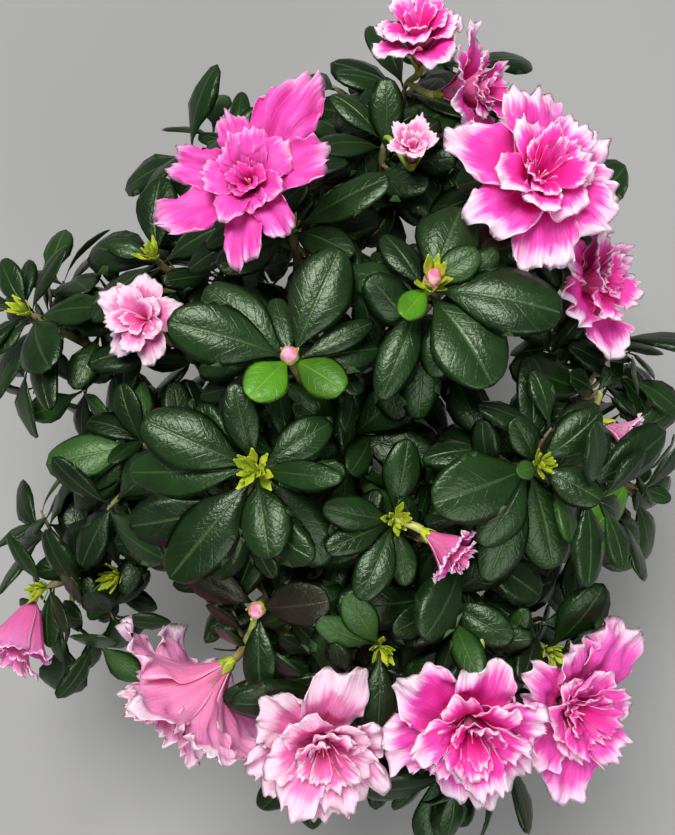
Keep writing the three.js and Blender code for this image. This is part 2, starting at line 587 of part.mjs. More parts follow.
// A leaf is set on a shoot where it meets no other mass and no other leaf of its own, or else left out
function setLeaf(name, tip, order, { bearing, length, width }) {
  const below = LEAF.below + order * LEAF.spacing * tip.scale;
  const at = tip.curve.getPointAt(Math.max(0.05, 1 - below / tip.curve.getLength()));
  const lift = Math.max(LEAF.rise - LEAF.fall * order, LEAF.lowest);
  const frame = frameOn(tip.axis);
  for (const [turned, tipped] of LEAF.tries) {
    const [around, up] = [degrees(bearing + turned), degrees(lift + tipped)];
    const set = { at, frame, bearing: around, lift: up, length, width };
    const blade = leaf(set, { from: LEAF.blade });
    if (!touches(leaf(set, { grown: GAP }), name) && !touches(blade, name, { own: true })) {
      const shape = leaf(set);
      masses[name].pieces.push(shape);
      occupy(shape, name, blade);
      return;
    }
  }
}

// The leaves of a shoot that were read from the view
function setReadLeaves(name, tip) {
  tip.leaves.forEach(([bearing, length, width], order) => {
    setLeaf(name, tip, order * LEAF.crowd, { bearing, length, width });
  });
}

// The leaves that the rule adds below those, one turn apart, and the bud on the tip
function setRuleLeaves(name, tip) {
  const first = tip.random() * 360;
  for (let k = 0; k < tip.more; k += 1) {
    const length = LEAF.length * tip.scale * (1 + LEAF.vary * (tip.random() - 0.5));
    const width = LEAF.width * (1 + LEAF.vary * (tip.random() - 0.5));
    const order = tip.leaves.length * LEAF.crowd + k;
    setLeaf(name, tip, order, { bearing: first + k * LEAF.turn, length, width });
  }
  if (tip.bud) {
    const shape = bud(tip.curve.getPoint(1), tip.axis, BUD[tip.bud]);
    if (!touches(shape, name)) {
      masses[name].pieces.push(shape);
    }
  }
}

// A mass is joined into one body and trimmed clear of the limbs and blooms
function joinMass(name) {
  let shape = wasm.Manifold.union(masses[name].pieces);
  for (const other of taken) {
    if (other.owner !== name && !other.isLeaf) {
      shape = shape.subtract(other.shape);
    }
  }
  keep(name, whole(shape), 'leaf', 0.4);
}

function toMesh(name, { shape, slot, roughness }) {
  const { vertProperties, triVerts } = shape.getMesh();
  const geometry = new THREE.BufferGeometry();
  geometry.setAttribute('position', new THREE.BufferAttribute(Float32Array.from(vertProperties), 3));
  geometry.setIndex(new THREE.BufferAttribute(Uint32Array.from(triVerts), 1));
  geometry.computeVertexNormals();
  const material = new THREE.MeshStandardMaterial({ color: COLOUR[slot], roughness, metalness: 0 });
  const mesh = new THREE.Mesh(geometry, material);
  mesh.name = name;
  return mesh;
}

function makeShrub() {
  const names = Object.keys(MASSES);
  keep('pot', makePot(), 'pot', 0.45);
  keep('soil', makeSoil(), 'soil', 0.95);
  makeTrunk();
  Object.entries(LIMBS).forEach(([name, place]) => makeLimb(name, place));
  names.forEach((name, place) => setShoots(name, place, MASSES[name]));
  names.forEach(layTwigs);
  Object.entries(BLOOMS).forEach(([name, bloom]) => makeBloom(name, bloom));
  names.forEach((name) => masses[name].tips.forEach((tip) => setReadLeaves(name, tip)));
  names.forEach((name) => masses[name].tips.forEach((tip) => setRuleLeaves(name, tip)));
  names.forEach(joinMass);
  const group = new THREE.Group();
  nodes.forEach((node, name) => group.add(toMesh(name, node)));
  return group;
}

export default makeShrub();
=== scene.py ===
# Potted azalea in bloom: its leaves, twigs, blossom, bark, peat and pot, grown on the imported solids.
# The tables are in millimetres and degrees, and every mesh is brought to metres by MM.
import math

import bpy
import numpy as np
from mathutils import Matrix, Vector
from mathutils.bvhtree import BVHTree


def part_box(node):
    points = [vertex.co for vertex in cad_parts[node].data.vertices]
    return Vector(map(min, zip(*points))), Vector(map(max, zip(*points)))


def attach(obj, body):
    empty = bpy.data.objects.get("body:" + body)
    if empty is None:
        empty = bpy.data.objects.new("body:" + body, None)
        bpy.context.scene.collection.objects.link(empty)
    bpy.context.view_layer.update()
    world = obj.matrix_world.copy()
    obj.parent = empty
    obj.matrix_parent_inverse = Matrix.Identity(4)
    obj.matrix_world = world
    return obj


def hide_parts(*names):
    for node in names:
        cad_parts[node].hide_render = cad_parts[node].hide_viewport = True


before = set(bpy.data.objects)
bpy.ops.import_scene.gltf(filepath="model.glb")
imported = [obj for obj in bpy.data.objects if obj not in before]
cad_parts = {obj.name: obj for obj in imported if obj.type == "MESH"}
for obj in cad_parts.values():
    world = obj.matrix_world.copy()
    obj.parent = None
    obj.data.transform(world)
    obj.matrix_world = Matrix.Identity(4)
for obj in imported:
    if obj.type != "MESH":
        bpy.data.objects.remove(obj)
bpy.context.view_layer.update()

MM = 0.001
UP = np.array([0.0, 0.0, 1.0])
ROUND = 2 * math.pi
PATH_STEPS = 200
RIPPLES = 20

# The plant, as the solids have it

# The soil's height, and how wood grows on it: the radii at foot and tip, the share of its carrier that a
# limb starts at, how far it levels out or follows that carrier, and how far its tip turns up
GROUND = 108.3
TRUNK = {"root": (3, -3), "top": (-3, 4), "height": 42, "foot": 15, "waist": 9.5, "tip": 8}
BOUGH = {"foot": 5.4, "tip": 3.9, "start": 0.8, "level": 0.5, "upturn": 0.45}
BRANCH = {"foot": 3.7, "tip": 2.7, "start": 0.97, "follow": 0.5, "upturn": 0.45}
STEM = {"foot": 2.6, "tip": 1.9, "start": 0.98, "follow": 0.4, "upturn": 0.9}
FORK = {"foot": 1.9, "tip": 1.4, "start": 0.3}
TWIG = {"foot": 1.6, "tip": 1.3, "upturn": 0.7}
BOW = 0.35

# The side twigs: the stretch of their stem that they start on, their fan round the mass, their slope, which
# rises towards the inside of the crown, their reach and their leaves
SIDE = {"from": 0.34, "stretch": 0.5, "jitter": 0.6, "fan": 200, "sway": 34, "rise": -36, "sweep": 34,
        "inner": 46, "reach": (28, 42), "leaves": 4, "scale": 0.95}

# The leaves: length, width over length and how both vary, the lift of the first and how it falls from one to
# the next, where they sit on their shoot, their turn, and the small turns and tips that are tried in order
LEAF = {"length": 42, "width": 0.54, "vary": 0.3, "rise": 26, "fall": 7, "lowest": -52, "below": 1.5,
        "spacing": 1.7, "crowd": 0.8, "turn": 137.5, "foot": 0.05, "dusk": 0.4, "half_thick": 0.21,
        "tries": ((0, 0), (0, 8), (0, -9), (10, 4), (-10, -4), (18, -14), (-18, 12))}

# The streams of random numbers
SEED = 21
SEEDS_A_MASS = 100
BLOOM_SEED = 900
BUD_SEED = 700

# The finer twigs that the rule is carried on to: how many on a main shoot and on a side twig, the stretch
# they start on, their reach and slope, how far they go along with their shoot and turn up at the tip, how far
# they may leave the box of their mass, and their leaves
FINE = {"main": 8, "side": 2, "from": 0.12, "stretch": 0.66, "reach": (13, 24), "rise": (-6, 44),
        "along": 0.4, "upturn": 0.4, "foot": 1.15, "tip": 0.7, "spill": 6, "tries": (0, 25, -25, 50),
        "leaves": 6, "length": 30, "vary": 0.4, "slim": 0.9, "slim_vary": 0.3, "scale": 0.75,
        "fresh": 0.2, "fresh_leaves": 2, "dusk": 0.5}

# How leaves differ: the least and the spread of each draw, in the order in which they are drawn
LEAF_DRAWS = {"arch": (0.238, 0.204), "dome": (0.10, 0.26), "sway": (-0.05, 0.10), "twist": (-0.25, 0.5),
              "waves": (1.0, 1.2), "phase": (0, ROUND), "ruffle": (0.03, 0.06), "blunt": (0.62, 0.16)}

# The view from above, in pixels and millimetres, and the place that all shoots grow away from
VIEW = {"width": 675, "height": 835, "focal": 1200, "distance": 540, "tilt": 79, "middle": (0, 0, 245)}
CROWN_HEART = np.array([0.0, 0.0, 165.0])

# Each bough and branch: what carries it, and where its tip is
LIMBS = {
    "bough_middle": ("trunk", (-4, 2, 232)),
    "bough_back_left": ("trunk", (-30, 54, 203)),
    "bough_back_right": ("trunk", (36, 56, 206)),
    "bough_right": ("trunk", (60, -10, 198)),
    "bough_front": ("trunk", (8, -58, 198)),
    "bough_left": ("trunk", (-62, -6, 192)),
    "branch_middle_right": ("bough_middle", (17, 20, 266)),
    "branch_middle_left": ("bough_middle", (-20, -20, 258)),
    "branch_back_middle": ("bough_back_left", (-18, 68, 246)),
    "branch_back_left": ("bough_back_left", (-50, 98, 212)),
    "branch_back": ("bough_back_right", (20, 94, 234)),
    "branch_back_right": ("bough_back_right", (66, 84, 230)),
    "branch_right_upper": ("bough_right", (66, -24, 250)),
    "branch_right_outer": ("bough_right", (100, 8, 205)),
    "branch_front_right": ("bough_front", (46, -84, 216)),
    "branch_front_left": ("bough_front", (-24, -82, 220)),
    "branch_left_far": ("bough_left", (-102, 32, 200)),
    "branch_left_low": ("bough_left", (-94, -44, 176)),
}

# Each mass: its limb, how many side twigs, and its shoots. A shoot is where it shows, its height, its bud,
# how many leaves the rule adds, and its leaves as (bearing, length, width over length, finish if special).
MASSES = {
    "foliage_top_left": ("bough_middle", 1, (
        ((290, 357), 325, "pink", 2, (
            (234, 26, 0.7, "young"), (326, 28, 0.62, "young"), (163, 50, 0.5), (64, 48, 0.54),
            (138, 46, 0.45), (25, 36, 0.32), (106, 30, 0.42))),
        ((350, 440), 272, None, 1, (
            (150, 42, 0.5), (40, 44, 0.54), (270, 42, 0.5), (345, 40, 0.5), (215, 40, 0.5))))),
    "foliage_top_right": ("branch_middle_right", 1, (
        ((430, 285), 330, "tall", 2, (
            (233, 24, 0.5, "young"), (36, 24, 0.6, "mid"), (70, 37, 0.74), (348, 53, 0.54), (304, 46, 0.68),
            (121, 30, 0.5), (246, 46, 0.36), (158, 34, 0.5))),)),
    "foliage_left_front": ("branch_middle_left", 1, (
        ((255, 470), 315, "large", 2, (
            (354, 40, 0.3), (102, 36, 0.4), (283, 36, 0.6), (156, 49, 0.5), (182, 54, 0.4), (232, 56, 0.47),
            (37, 34, 0.5))),)),
    "foliage_right_front": ("branch_right_upper", 1, (
        ((540, 465), 305, "green", 2, (
            (197, 14, 0.6, "mid"), (130, 24, 0.55), (40, 34, 0.5), (332, 30, 0.55), (200, 47, 0.62),
            (90, 45, 0.3), (238, 38, 0.55), (289, 46, 0.54), (252, 50, 0.42))),)),
    "foliage_front_inner": ("bough_front", 2, (
        ((395, 520), 290, "green", 2, (
            (170, 35, 0.42), (198, 33, 0.4), (246, 36, 0.46), (80, 34, 0.5), (284, 28, 0.45))),
        ((445, 600), 262, None, 2, ((200, 30, 0.5), (330, 34, 0.5))))),
    "foliage_far_left": ("branch_left_far", 2, (
        ((28, 312), 225, "green", 2, (
            (107, 31, 0.5), (25, 42, 0.42), (227, 26, 0.5), (298, 44, 0.6), (345, 46, 0.36),
            (285, 52, 0.34))),)),
    "foliage_left_back": ("bough_back_left", 2, (
        ((155, 258), 255, "green", 3, ((163, 24, 0.45), (84, 40, 0.53))),
        ((172, 345), 240, None, 4, ()))),
    "foliage_back_inner_left": ("branch_back_middle", 1, (
        ((292, 230), 293, "green", 2, ((12, 48, 0.42), (322, 36, 0.5), (215, 38, 0.5))),)),
    "foliage_back_inner": ("branch_back", 1, (
        ((385, 140), 282, None, 3, ((306, 38, 0.5), (141, 32, 0.45), (100, 30, 0.6), (200, 34, 0.5))),)),
    "foliage_back": ("branch_back", 2, (
        ((405, 88), 258, None, 3, ((124, 36, 0.5), (318, 40, 0.46), (180, 34, 0.5))),)),
    "foliage_back_right": ("branch_back_right", 2, (
        ((505, 180), 284, None, 4, ((170, 34, 0.5), (215, 34, 0.5))),)),
    "foliage_back_low": ("branch_back_right", 2, (((470, 60), 205, None, 5, ()),)),
    "foliage_back_left": ("branch_back_left", 2, (
        ((240, 145), 240, None, 4, ((88, 30, 0.34), (62, 26, 0.42), (150, 24, 0.45))),)),
    "foliage_front_middle": ("branch_front_left", 1, (
        ((380, 648), 262, "green", 3, ((117, 33, 0.45, "mid"), (270, 37, 0.4), (150, 34, 0.4, "mid"))),)),
    "foliage_front_left": ("branch_front_left", 1, (
        ((258, 608), 268, "pink", 0, (
            (15, 34, 0.66, "purplish"), (275, 38, 0.4), (150, 36, 0.5, "purplish"))),
        ((308, 690), 234, None, 3, ()))),
    "foliage_front_right": ("branch_front_right", 1, (
        ((480, 635), 262, None, 3, (
            (75, 30, 0.34, "purplish"), (40, 36, 0.3, "purplish"), (120, 34, 0.4, "purplish"))),
        ((548, 650), 238, "green", 3, ()))),
    "foliage_left_corner": ("branch_left_low", 2, (
        ((45, 588), 188, "green", 2, ((103, 34, 0.38), (330, 30, 0.46), (280, 30, 0.5))),)),
    "foliage_left_low": ("branch_left_low", 1, (
        ((118, 575), 205, "green", 2, ((20, 26, 0.4, "mid"), (240, 28, 0.4), (100, 26, 0.4))),
        ((85, 525), 190, None, 2, ((60, 22, 0.45),)))),
    "foliage_left": ("bough_left", 2, (
        ((140, 445), 240, None, 3, ((194, 44, 0.5, "mid"), (100, 30, 0.5), (215, 34, 0.4))),
        ((200, 540), 225, None, 3, ()))),
    "foliage_right": ("branch_right_outer", 2, (
        ((598, 392), 245, None, 4, ((60, 20, 0.6), (170, 22, 0.6), (310, 24, 0.5))),)),
    "foliage_right_twig": ("branch_right_outer", 2, (
        ((640, 488), 195, None, 1, ((338, 19, 0.46), (235, 14, 0.5), (40, 14, 0.4))),)),
    "foliage_right_low": ("bough_right", 2, (
        ((575, 545), 225, None, 4, ((60, 36, 0.6, "young"), (255, 30, 0.5))),)),
    "foliage_right_back": ("branch_right_outer", 2, (
        ((572, 300), 246, None, 3, ((88, 26, 0.8, "young"), (70, 34, 0.5), (330, 34, 0.5))),)),
    "foliage_front_low_left": ("bough_front", 3, (
        ((300, 762), 178, None, 3, ((284, 36, 0.46), (236, 34, 0.5), (320, 32, 0.45))),)),
    "foliage_front_low_right": ("branch_front_right", 3, (
        ((435, 770), 180, None, 3, ((262, 42, 0.5), (296, 38, 0.5), (222, 30, 0.45))),)),
}

# Each bloom, in the order of BLOOM_WORDS: its mass and shoot, where its heart shows, its height, the
# (bearing, elevation) that it faces, its depth, the reach of its inner petals against the outer, its
# colouring, and its lobes as (bearing, reach).
BLOOM_WORDS = ("carrier", "seen", "height", "faces", "depth", "frill", "tone", "lobes")
BLOOMS = {
    "bloom_back": (("foliage_back", 0), (419, 51), 284, (98, 66), 23, 0.8, "edged", (
        (20, 19), (90, 25), (160, 19), (230, 24), (300, 24))),
    "bloom_back_side": (("foliage_back", 0), (456, 92), 276, (352, 30), 24, 0.5, "edged", (
        (0, 22), (75, 30), (150, 22), (225, 22), (290, 28))),
    "bloom_back_left": (("foliage_back_inner_left", 0), (253, 188), 325, (200, 80), 17, 0.25, "mauve", (
        (15, 33), (66, 48), (100, 31), (157, 34), (210, 39), (259, 33), (310, 27))),
    "bloom_back_right": (("foliage_back_right", 0), (534, 184), 322, (10, 78), 17, 0.55, "edged", (
        (31, 33), (87, 40), (160, 39), (228, 34), (277, 37), (328, 33), (358, 33))),
    "bloom_right": (("foliage_right_back", 0), (582, 284), 268, (355, 42), 18, 0.5, "edged", (
        (20, 30), (80, 32), (150, 28), (215, 30), (285, 34))),
    "bloom_small_back": (("foliage_back_inner", 0), (412, 157), 302, (100, 78), 15, 0.7, "pale", (
        (0, 10), (72, 11), (144, 10), (216, 11), (288, 10))),
    "bloom_left": (("foliage_left_back", 1), (147, 320), 263, (215, 70), 13, 0.7, "pale", (
        (10, 19), (85, 19), (150, 21), (215, 20), (290, 20))),
    "bloom_left_corner": (("foliage_left_corner", 0), (25, 625), 190, (255, 12), 27, 0.7, "rose", (
        (20, 19), (90, 21), (160, 19), (235, 20), (300, 19))),
    "bloom_front_left": (("foliage_front_left", 0), (208, 682), 240, (220, -20), 36, 0.35, "salmon", (
        (0, 50), (60, 40), (125, 40), (180, 46), (240, 38), (300, 38))),
    "bloom_front": (("foliage_front_left", 1), (322, 736), 248, (275, 54), 17, 0.7, "pale", (
        (10, 30), (80, 38), (135, 33), (200, 33), (262, 35), (320, 34))),
    "bloom_front_right": (("foliage_front_right", 0), (470, 718), 262, (268, 55), 17, 0.65, "edged", (
        (15, 31), (75, 33), (140, 38), (200, 37), (265, 38), (320, 34))),
    "bloom_front_corner": (("foliage_front_right", 1), (565, 704), 244, (322, 56), 18, 0.6, "strong", (
        (48, 44), (95, 34), (145, 34), (210, 30), (265, 38), (335, 28))),
    "bloom_small_front": (("foliage_front_inner", 0), (438, 542), 296, (322, 12), 19, 0.5, "edged", (
        (0, 13), (72, 14), (144, 12), (216, 14), (288, 13))),
    "bloom_small_right": (("foliage_right", 0), (613, 428), 232, (330, 16), 18, 0.5, "pale", (
        (0, 11), (72, 12), (144, 11), (216, 12), (288, 11))),
}

# How much a bloom's petals ruffle. It is small where its first lobe reaches less than SMALL, otherwise a cup
# where it is deeper than PETAL["cup"], and open where it is neither.
SMALL = 20
RUFFLES = {"small": 0.55, "cup": 0.7, "open": 0.85}

# Petals: their half width as a share of the reach and the most it can be, the depth past which a bloom is a
# cup and the same two for it, the power of the share along the petal that sets how far out it reaches, the
# throat as a share of the reach, the angle over which inner petals are joined, and half their thickness
PETAL = {"half": 0.60, "most": 21.5, "cup": 20, "cup_half": 0.62, "cup_most": 24, "flare": 1.35,
         "throat": 0.04, "joined": 50, "half_thick": 0.17}

# The outer petals: how much further than their lobe they reach, and the shares of the gap between their
# neighbours that they may span and are joined over, each with the most it can be
OUTER = {"reach": 1.03, "span": 0.48, "most_span": 60, "joined": 0.45, "most_joined": 62}

# How petals differ: the least and the spread of each draw, in the order in which they are drawn. "groove",
# "curl", "side" and "tip" are shares of the reach, and the last two also of the bloom's ruffle.
PETAL_DRAWS = {"slant": (-0.06, 0.12), "roll": (0.04, 0.10), "groove": (0.015, 0.03), "curl": (-0.154, 0.22),
               "sway": (-0.15, 0.3), "waves": (1.6, 1.3), "side": (0.09, 0.07), "crests": (2.0, 1.6),
               "tip": (0.06, 0.05), "frills": (2.3, 1.1), "phase": (0, ROUND)}

# The finishes of a bloom, in the order in which its faces count them
BLOOM_FINISHES = ("petal", "back", "stalk", "calyx", "thread", "heart")

# The rings of a bloom: how far up the throat each starts, the rows and columns of a petal's grid, and the
# finish of the petals' upper side
RINGS = {"outer": (0, 21, 45, "petal"), "middle": (0.8, 17, 35, "petal"), "heart": (1.6, 13, 25, "heart")}

# The second ring and the heart. Two numbers are the least and the spread of a draw, and "frill" says how much
# the bloom's own frill adds to the reach.
MIDDLE = {"reach": 0.38, "frill": 0.46, "vary": (0.85, 0.3), "deeper": 1.02, "slant": (0.12, 0.4)}
HEART = {"number": 10, "small_number": 4, "least_frill": 0.35, "reach": (0.36, 0.42), "half": 0.85,
         "deep": (0.85, 0.25), "slant": (0.2, 0.8), "ruffle": 1.5}

# The calyx, stalk and stamens of a bloom: their lengths and radii, where they start, and their grids
CALYX = {"sepals": 5, "length": 8.5, "width": 0.55, "lift": 66, "below": 0.5}
STALK = {"foot": 1.1, "tip": 1.9, "into": 1.2, "ring": 2, "least_rings": 8, "sides": 10}
THREAD = {"number": 4, "small_number": 2, "foot": 0.35, "tip": 0.3, "start": 2, "turn": 2.4, "lean": 0.4,
          "length": (0.95, 0.25), "out": (1, 3), "rings": 10, "sides": 6}

# A sepal or bud scale has the shape of a leaf, cupped and plain. Round an axis, their lengths vary and each
# one sits lower and less steep than the last.
BRACT = {"arch": -0.25, "dome": -0.35, "sway": 0.0, "twist": 0.0, "waves": 1.0, "phase": 0.0, "ruffle": 0.0,
         "blunt": -0.3, "finish": 0}
SCALES = {"vary": (0.75, 0.5), "drop": 0.4, "fall": 5}

# Each kind of bud: the length of its scales, their number, and the length of the petals that show, if any.
# The scales' width over length and slope, and the widths of the petals and of the sheath round their foot.
BUDS = {"large": (12.5, 18, 0), "green": (10.5, 12, 0), "pink": (8, 7, 11), "tall": (14, 12, 15)}
BUD = {"width": 0.30, "lift": 76, "spread": 0.5, "petals": 6.5, "petals_below": 1, "sheath": 7.1,
       "sheath_below": 1.5, "sheath_length": 0.6}
BUD_FINISHES = ("scale", "petal")

# Blooms whose petals are narrower, which leaves gaps between them: their half width as a share of the reach
NARROW = {"bloom_back_left": 0.34, "bloom_front_corner": 0.48, "bloom_right": 0.52}

# Blooms that hang like a bell, wide from the stalk on: their own power in place of PETAL["flare"]
BELLS = {"bloom_left_corner": 0.62, "bloom_small_front": 1.0}

# Blooms whose outer petals bend back or stand up: the slope of their petals
SLOPES = {"bloom_front_left": -0.22, "bloom_back_side": -0.15, "bloom_front_corner": 0.08,
          "bloom_small_back": 0.7}

# Masses whose shoots carry fewer of the finer twigs, which lets the floor and their stems show through
SPARSE = {"foliage_right_twig": 1, "foliage_left_low": 2, "foliage_left_corner": 3, "foliage_far_left": 5,
          "foliage_right": 2, "foliage_right_back": 3}

# What stays free of leaves: a shaft of this height over each bud, calyx and bloom, which starts a little
# above a bud. The bloom's radius is a share of its lobes' mean reach.
CLEAR = {"bud": 3.5, "above_bud": 3, "calyx": 7, "bloom": 0.4, "height": 60}

# The grids of wood: the length of a ring, the fewest rings, and the sides
WOOD = {"trunk": (40, 48), "limb_ring": 2.2, "limb_rings": 12, "limb_sides": 20,
        "twig_ring": 4, "twig_rings": 4, "twig_sides": 6, "stem_sides": 8}

# Rough shapes: the most of them, the radius of a twig's, and the rows and columns of a leaf's
MOST_SHAPES = 9000
ROUGH_TWIG = 0.9
ROUGH_ROWS = (0.1, 0.28, 0.46, 0.64, 0.82, 0.96)
ROUGH_COLS = (-0.95, -0.5, 0.0, 0.5, 0.95)

# The grids of the leaves that were read from the view, and of all others
LARGE_ROWS = (0, 0.03, 0.07, 0.13, 0.21, 0.3, 0.4, 0.5, 0.6, 0.7, 0.79, 0.87, 0.93, 0.97, 1)
LARGE_COLS = (-1, -0.8, -0.5, -0.2, 0, 0.2, 0.5, 0.8, 1)
PLAIN_ROWS = (0, 0.07, 0.18, 0.34, 0.52, 0.7, 0.85, 0.95, 1)
PLAIN_COLS = (-1, -0.55, 0, 0.55, 1)

# Each leaf finish: its base colour, the colour of its ribs, and its roughness
LEAF_TONES = {
    "deep": ((0.0065, 0.0225, 0.004), (0.052, 0.098, 0.030), 0.29),
    "dusk": ((0.005, 0.016, 0.0037), (0.042, 0.078, 0.026), 0.34),
    "mid": ((0.018, 0.058, 0.009), (0.090, 0.160, 0.040), 0.36),
    "young": ((0.050, 0.165, 0.006), (0.160, 0.300, 0.030), 0.40),
    "purplish": ((0.012, 0.009, 0.006), (0.050, 0.036, 0.025), 0.34),
    "under": ((0.032, 0.064, 0.019), (0.075, 0.125, 0.045), 0.60),
}
LEAF_FINISHES = list(LEAF_TONES)

# Each colouring of a bloom: its heart, its flesh and its margin, the share along the petal where the margin
# begins, and how far the heart runs
PETAL_TONES = {
    "mauve": ((0.62, 0.006, 0.200), (0.71, 0.042, 0.315), (0.83, 0.330, 0.590), 0.93, 0.48),
    "edged": ((0.72, 0.003, 0.185), (0.82, 0.040, 0.350), (0.90, 0.520, 0.730), 0.85, 0.60),
    "pale": ((0.76, 0.020, 0.210), (0.84, 0.150, 0.390), (0.90, 0.490, 0.670), 0.75, 0.38),
    "rose": ((0.72, 0.010, 0.220), (0.82, 0.085, 0.380), (0.86, 0.440, 0.660), 0.86, 0.45),
    "strong": ((0.68, 0.005, 0.200), (0.74, 0.050, 0.335), (0.87, 0.460, 0.680), 0.88, 0.50),
    "salmon": ((0.80, 0.050, 0.230), (0.87, 0.145, 0.370), (0.89, 0.500, 0.680), 0.84, 0.42),
}
BACK_TINT = (0.90, 0.55, 0.70)

# The studio, in metres: where each light stands, its size, its power in watts and its colour, and the sky
LIGHTS = {"key": ((-0.20, 0.34, 1.55), 0.6, 29, (1.0, 0.99, 0.97)),
          "fill": ((0.5, -1.1, 1.1), 1.0, 13, (1.0, 0.99, 0.98))}
CROWN_MIDDLE = (0, 0, 0.2)
SKY = {"colour": (0.90, 0.95, 1.0, 1), "strength": 0.29}
FLOOR_HALF = 20


# Lines and directions

def dice(seed):
    """A steady stream of numbers from 0 to 1, from one whole number stirred by shifts and products."""
    whole = 0xFFFFFFFF
    state = seed & whole
    while True:
        state = (state + 0x6D2B79F5) & whole
        mixed = ((state ^ (state >> 15)) * (1 | state)) & whole
        stirred = ((mixed ^ (mixed >> 7)) * (61 | mixed)) & whole
        mixed = ((mixed + stirred) & whole) ^ mixed
        yield (mixed ^ (mixed >> 14)) / 4294967296


def pick(least, spread, random):
    """One number: the least plus a random share of the spread."""
    return least + spread * next(random)


def draw(draws, random):
    """One number for each name, in the order of the names, from its least and its spread."""
    return {name: pick(*row, random) for name, row in draws.items()}


def about(middle, spread, random):
    """One number, at most half a spread from the middle."""
    return middle + spread * (next(random) - 0.5)


def within(ends, random):
    """One number between two ends."""
    low, high = ends
    return low + (high - low) * next(random)


def unit(v):
    """A direction, or an array of them, brought to length one."""
    return v / np.maximum(np.linalg.norm(v, axis=-1, keepdims=True), 1e-12)


def heading(bearing, elevation):
    """The direction at a bearing and an elevation, both in radians."""
    level = math.cos(elevation)
    return np.array([level * math.cos(bearing), level * math.sin(bearing), math.sin(elevation)])


def frame_on(axis):
    """Three square directions: the third along the axis, the first as near to the view's right as can be."""
    z = unit(axis)
    x = unit(np.array([1.0, 0.0, 0.0]) - z * z[0])
    return x, np.cross(z, x), z


def spot(seen, height):
    """The point at a height that shows at a place in the view from above."""
    tilt = math.radians(VIEW["tilt"])
    ahead = np.array([0, math.cos(tilt), -math.sin(tilt)])
    upward = np.array([0, math.sin(tilt), math.cos(tilt)])
    eye = np.array(VIEW["middle"]) - ahead * VIEW["distance"]
    right = np.array([(seen[0] - VIEW["width"] / 2) / VIEW["focal"], 0, 0])
    ray = ahead + right + upward * (VIEW["height"] / 2 - seen[1]) / VIEW["focal"]
    return eye + ray * (height - eye[2]) / ray[2]


class Path:
    """A limb's line: the cubic curve on four points, with a table of its length to walk it evenly."""

    def __init__(self, start, one, two, end):
        self.knots = np.array([start, one, two, end], float)
        self.table_t = np.linspace(0, 1, PATH_STEPS + 1)
        legs = np.linalg.norm(np.diff(self.point(self.table_t), axis=0), axis=1)
        self.table = np.concatenate([[0], np.cumsum(legs)])
        self.length = self.table[-1]

    def point(self, t):
        """The curve at t: its four points weighed by the cubic blend of t and 1 - t."""
        t = np.asarray(t, float)[..., None]
        a, b, c, d = self.knots
        return (1 - t) ** 3 * a + 3 * (1 - t) ** 2 * t * b + 3 * (1 - t) * t ** 2 * c + t ** 3 * d

    def tangent(self, t):
        """The direction of the curve at t: the slope of the cubic blend, brought to length one."""
        t = np.asarray(t, float)[..., None]
        a, b, c, d = self.knots
        return unit((1 - t) ** 2 * (b - a) + 2 * (1 - t) * t * (c - b) + t ** 2 * (d - c))

    def at_share(self, share):
        """The point at a share of the curve's length."""
        return self.point(np.interp(np.asarray(share) * self.length, self.table, self.table_t))


def sweep(start, leave, end, arrive):
    """The path of a limb, which leaves along one direction and arrives along another."""
    handle = np.linalg.norm(end - start) * BOW
    return Path(start, start + leave * handle, end - arrive * handle, end)


def straight(start, end):
    """A straight path, walked evenly."""
    return Path(start, start + (end - start) / 3, end - (end - start) / 3, end)


def ripples(points, size, seed):
    """A smooth random height from about -1 to 1: the sum of a number of sines along random ways, each near
    "size" long, over the root of their number."""
    rng = np.random.default_rng(seed)
    ways = unit(rng.normal(size=(RIPPLES, 3))) * (ROUND / size) * rng.uniform(0.6, 1.6, (RIPPLES, 1))
    return np.sin(points @ ways.T + rng.uniform(0, ROUND, RIPPLES)).sum(-1) / math.sqrt(RIPPLES)


# Surfaces

# A part is (points in millimetres, [(faces, UV of each corner, finish of each face), ...]).

def grid_faces(index):
    """Quads over a grid of point numbers, seen from the side where axis 0 turned to axis 1 goes left."""
    return np.stack([index[:-1, :-1], index[1:, :-1], index[1:, 1:], index[:-1, 1:]], -1).reshape(-1, 4)


def sheets(middle, half, along, across, top, under):
    """Closed thin sheets round N grids of points: the margin, then both faces, each half a thickness from
    the middle along its normal, which is the cross product of the grid's two slopes."""
    count, rows, cols = middle.shape[:3]
    normal = unit(np.cross(np.gradient(middle, axis=1), np.gradient(middle, axis=2)))
    lift = normal * half[..., None]
    lift[:, [0, -1]] = 0
    lift[:, :, [0, -1]] = 0
    upper = (middle + lift).reshape(count, -1, 3)
    lower = (middle - lift)[:, 1:-1, 1:-1].reshape(count, -1, 3)
    index = np.arange(rows * cols).reshape(rows, cols)
    back = index.copy()
    back[1:-1, 1:-1] = rows * cols + np.arange((rows - 2) * (cols - 2)).reshape(rows - 2, cols - 2)
    uv = np.stack(np.broadcast_arrays(along, across), -1).reshape(count, -1, 2)
    uv = np.concatenate([uv, uv.reshape(count, rows, cols, 2)[:, 1:-1, 1:-1].reshape(count, -1, 2)], 1)
    points = np.concatenate([upper, lower], 1)
    size = points.shape[1]
    start = (np.arange(count) * size)[:, None, None]
    faces = []
    for quads, finish in ((grid_faces(index), top), (grid_faces(back)[:, ::-1], under)):
        all_quads = (quads[None] + start).reshape(-1, 4)
        faces.append((all_quads, uv.reshape(-1, 2)[all_quads], np.repeat(finish, len(quads))))
    return points.reshape(-1, 3), faces


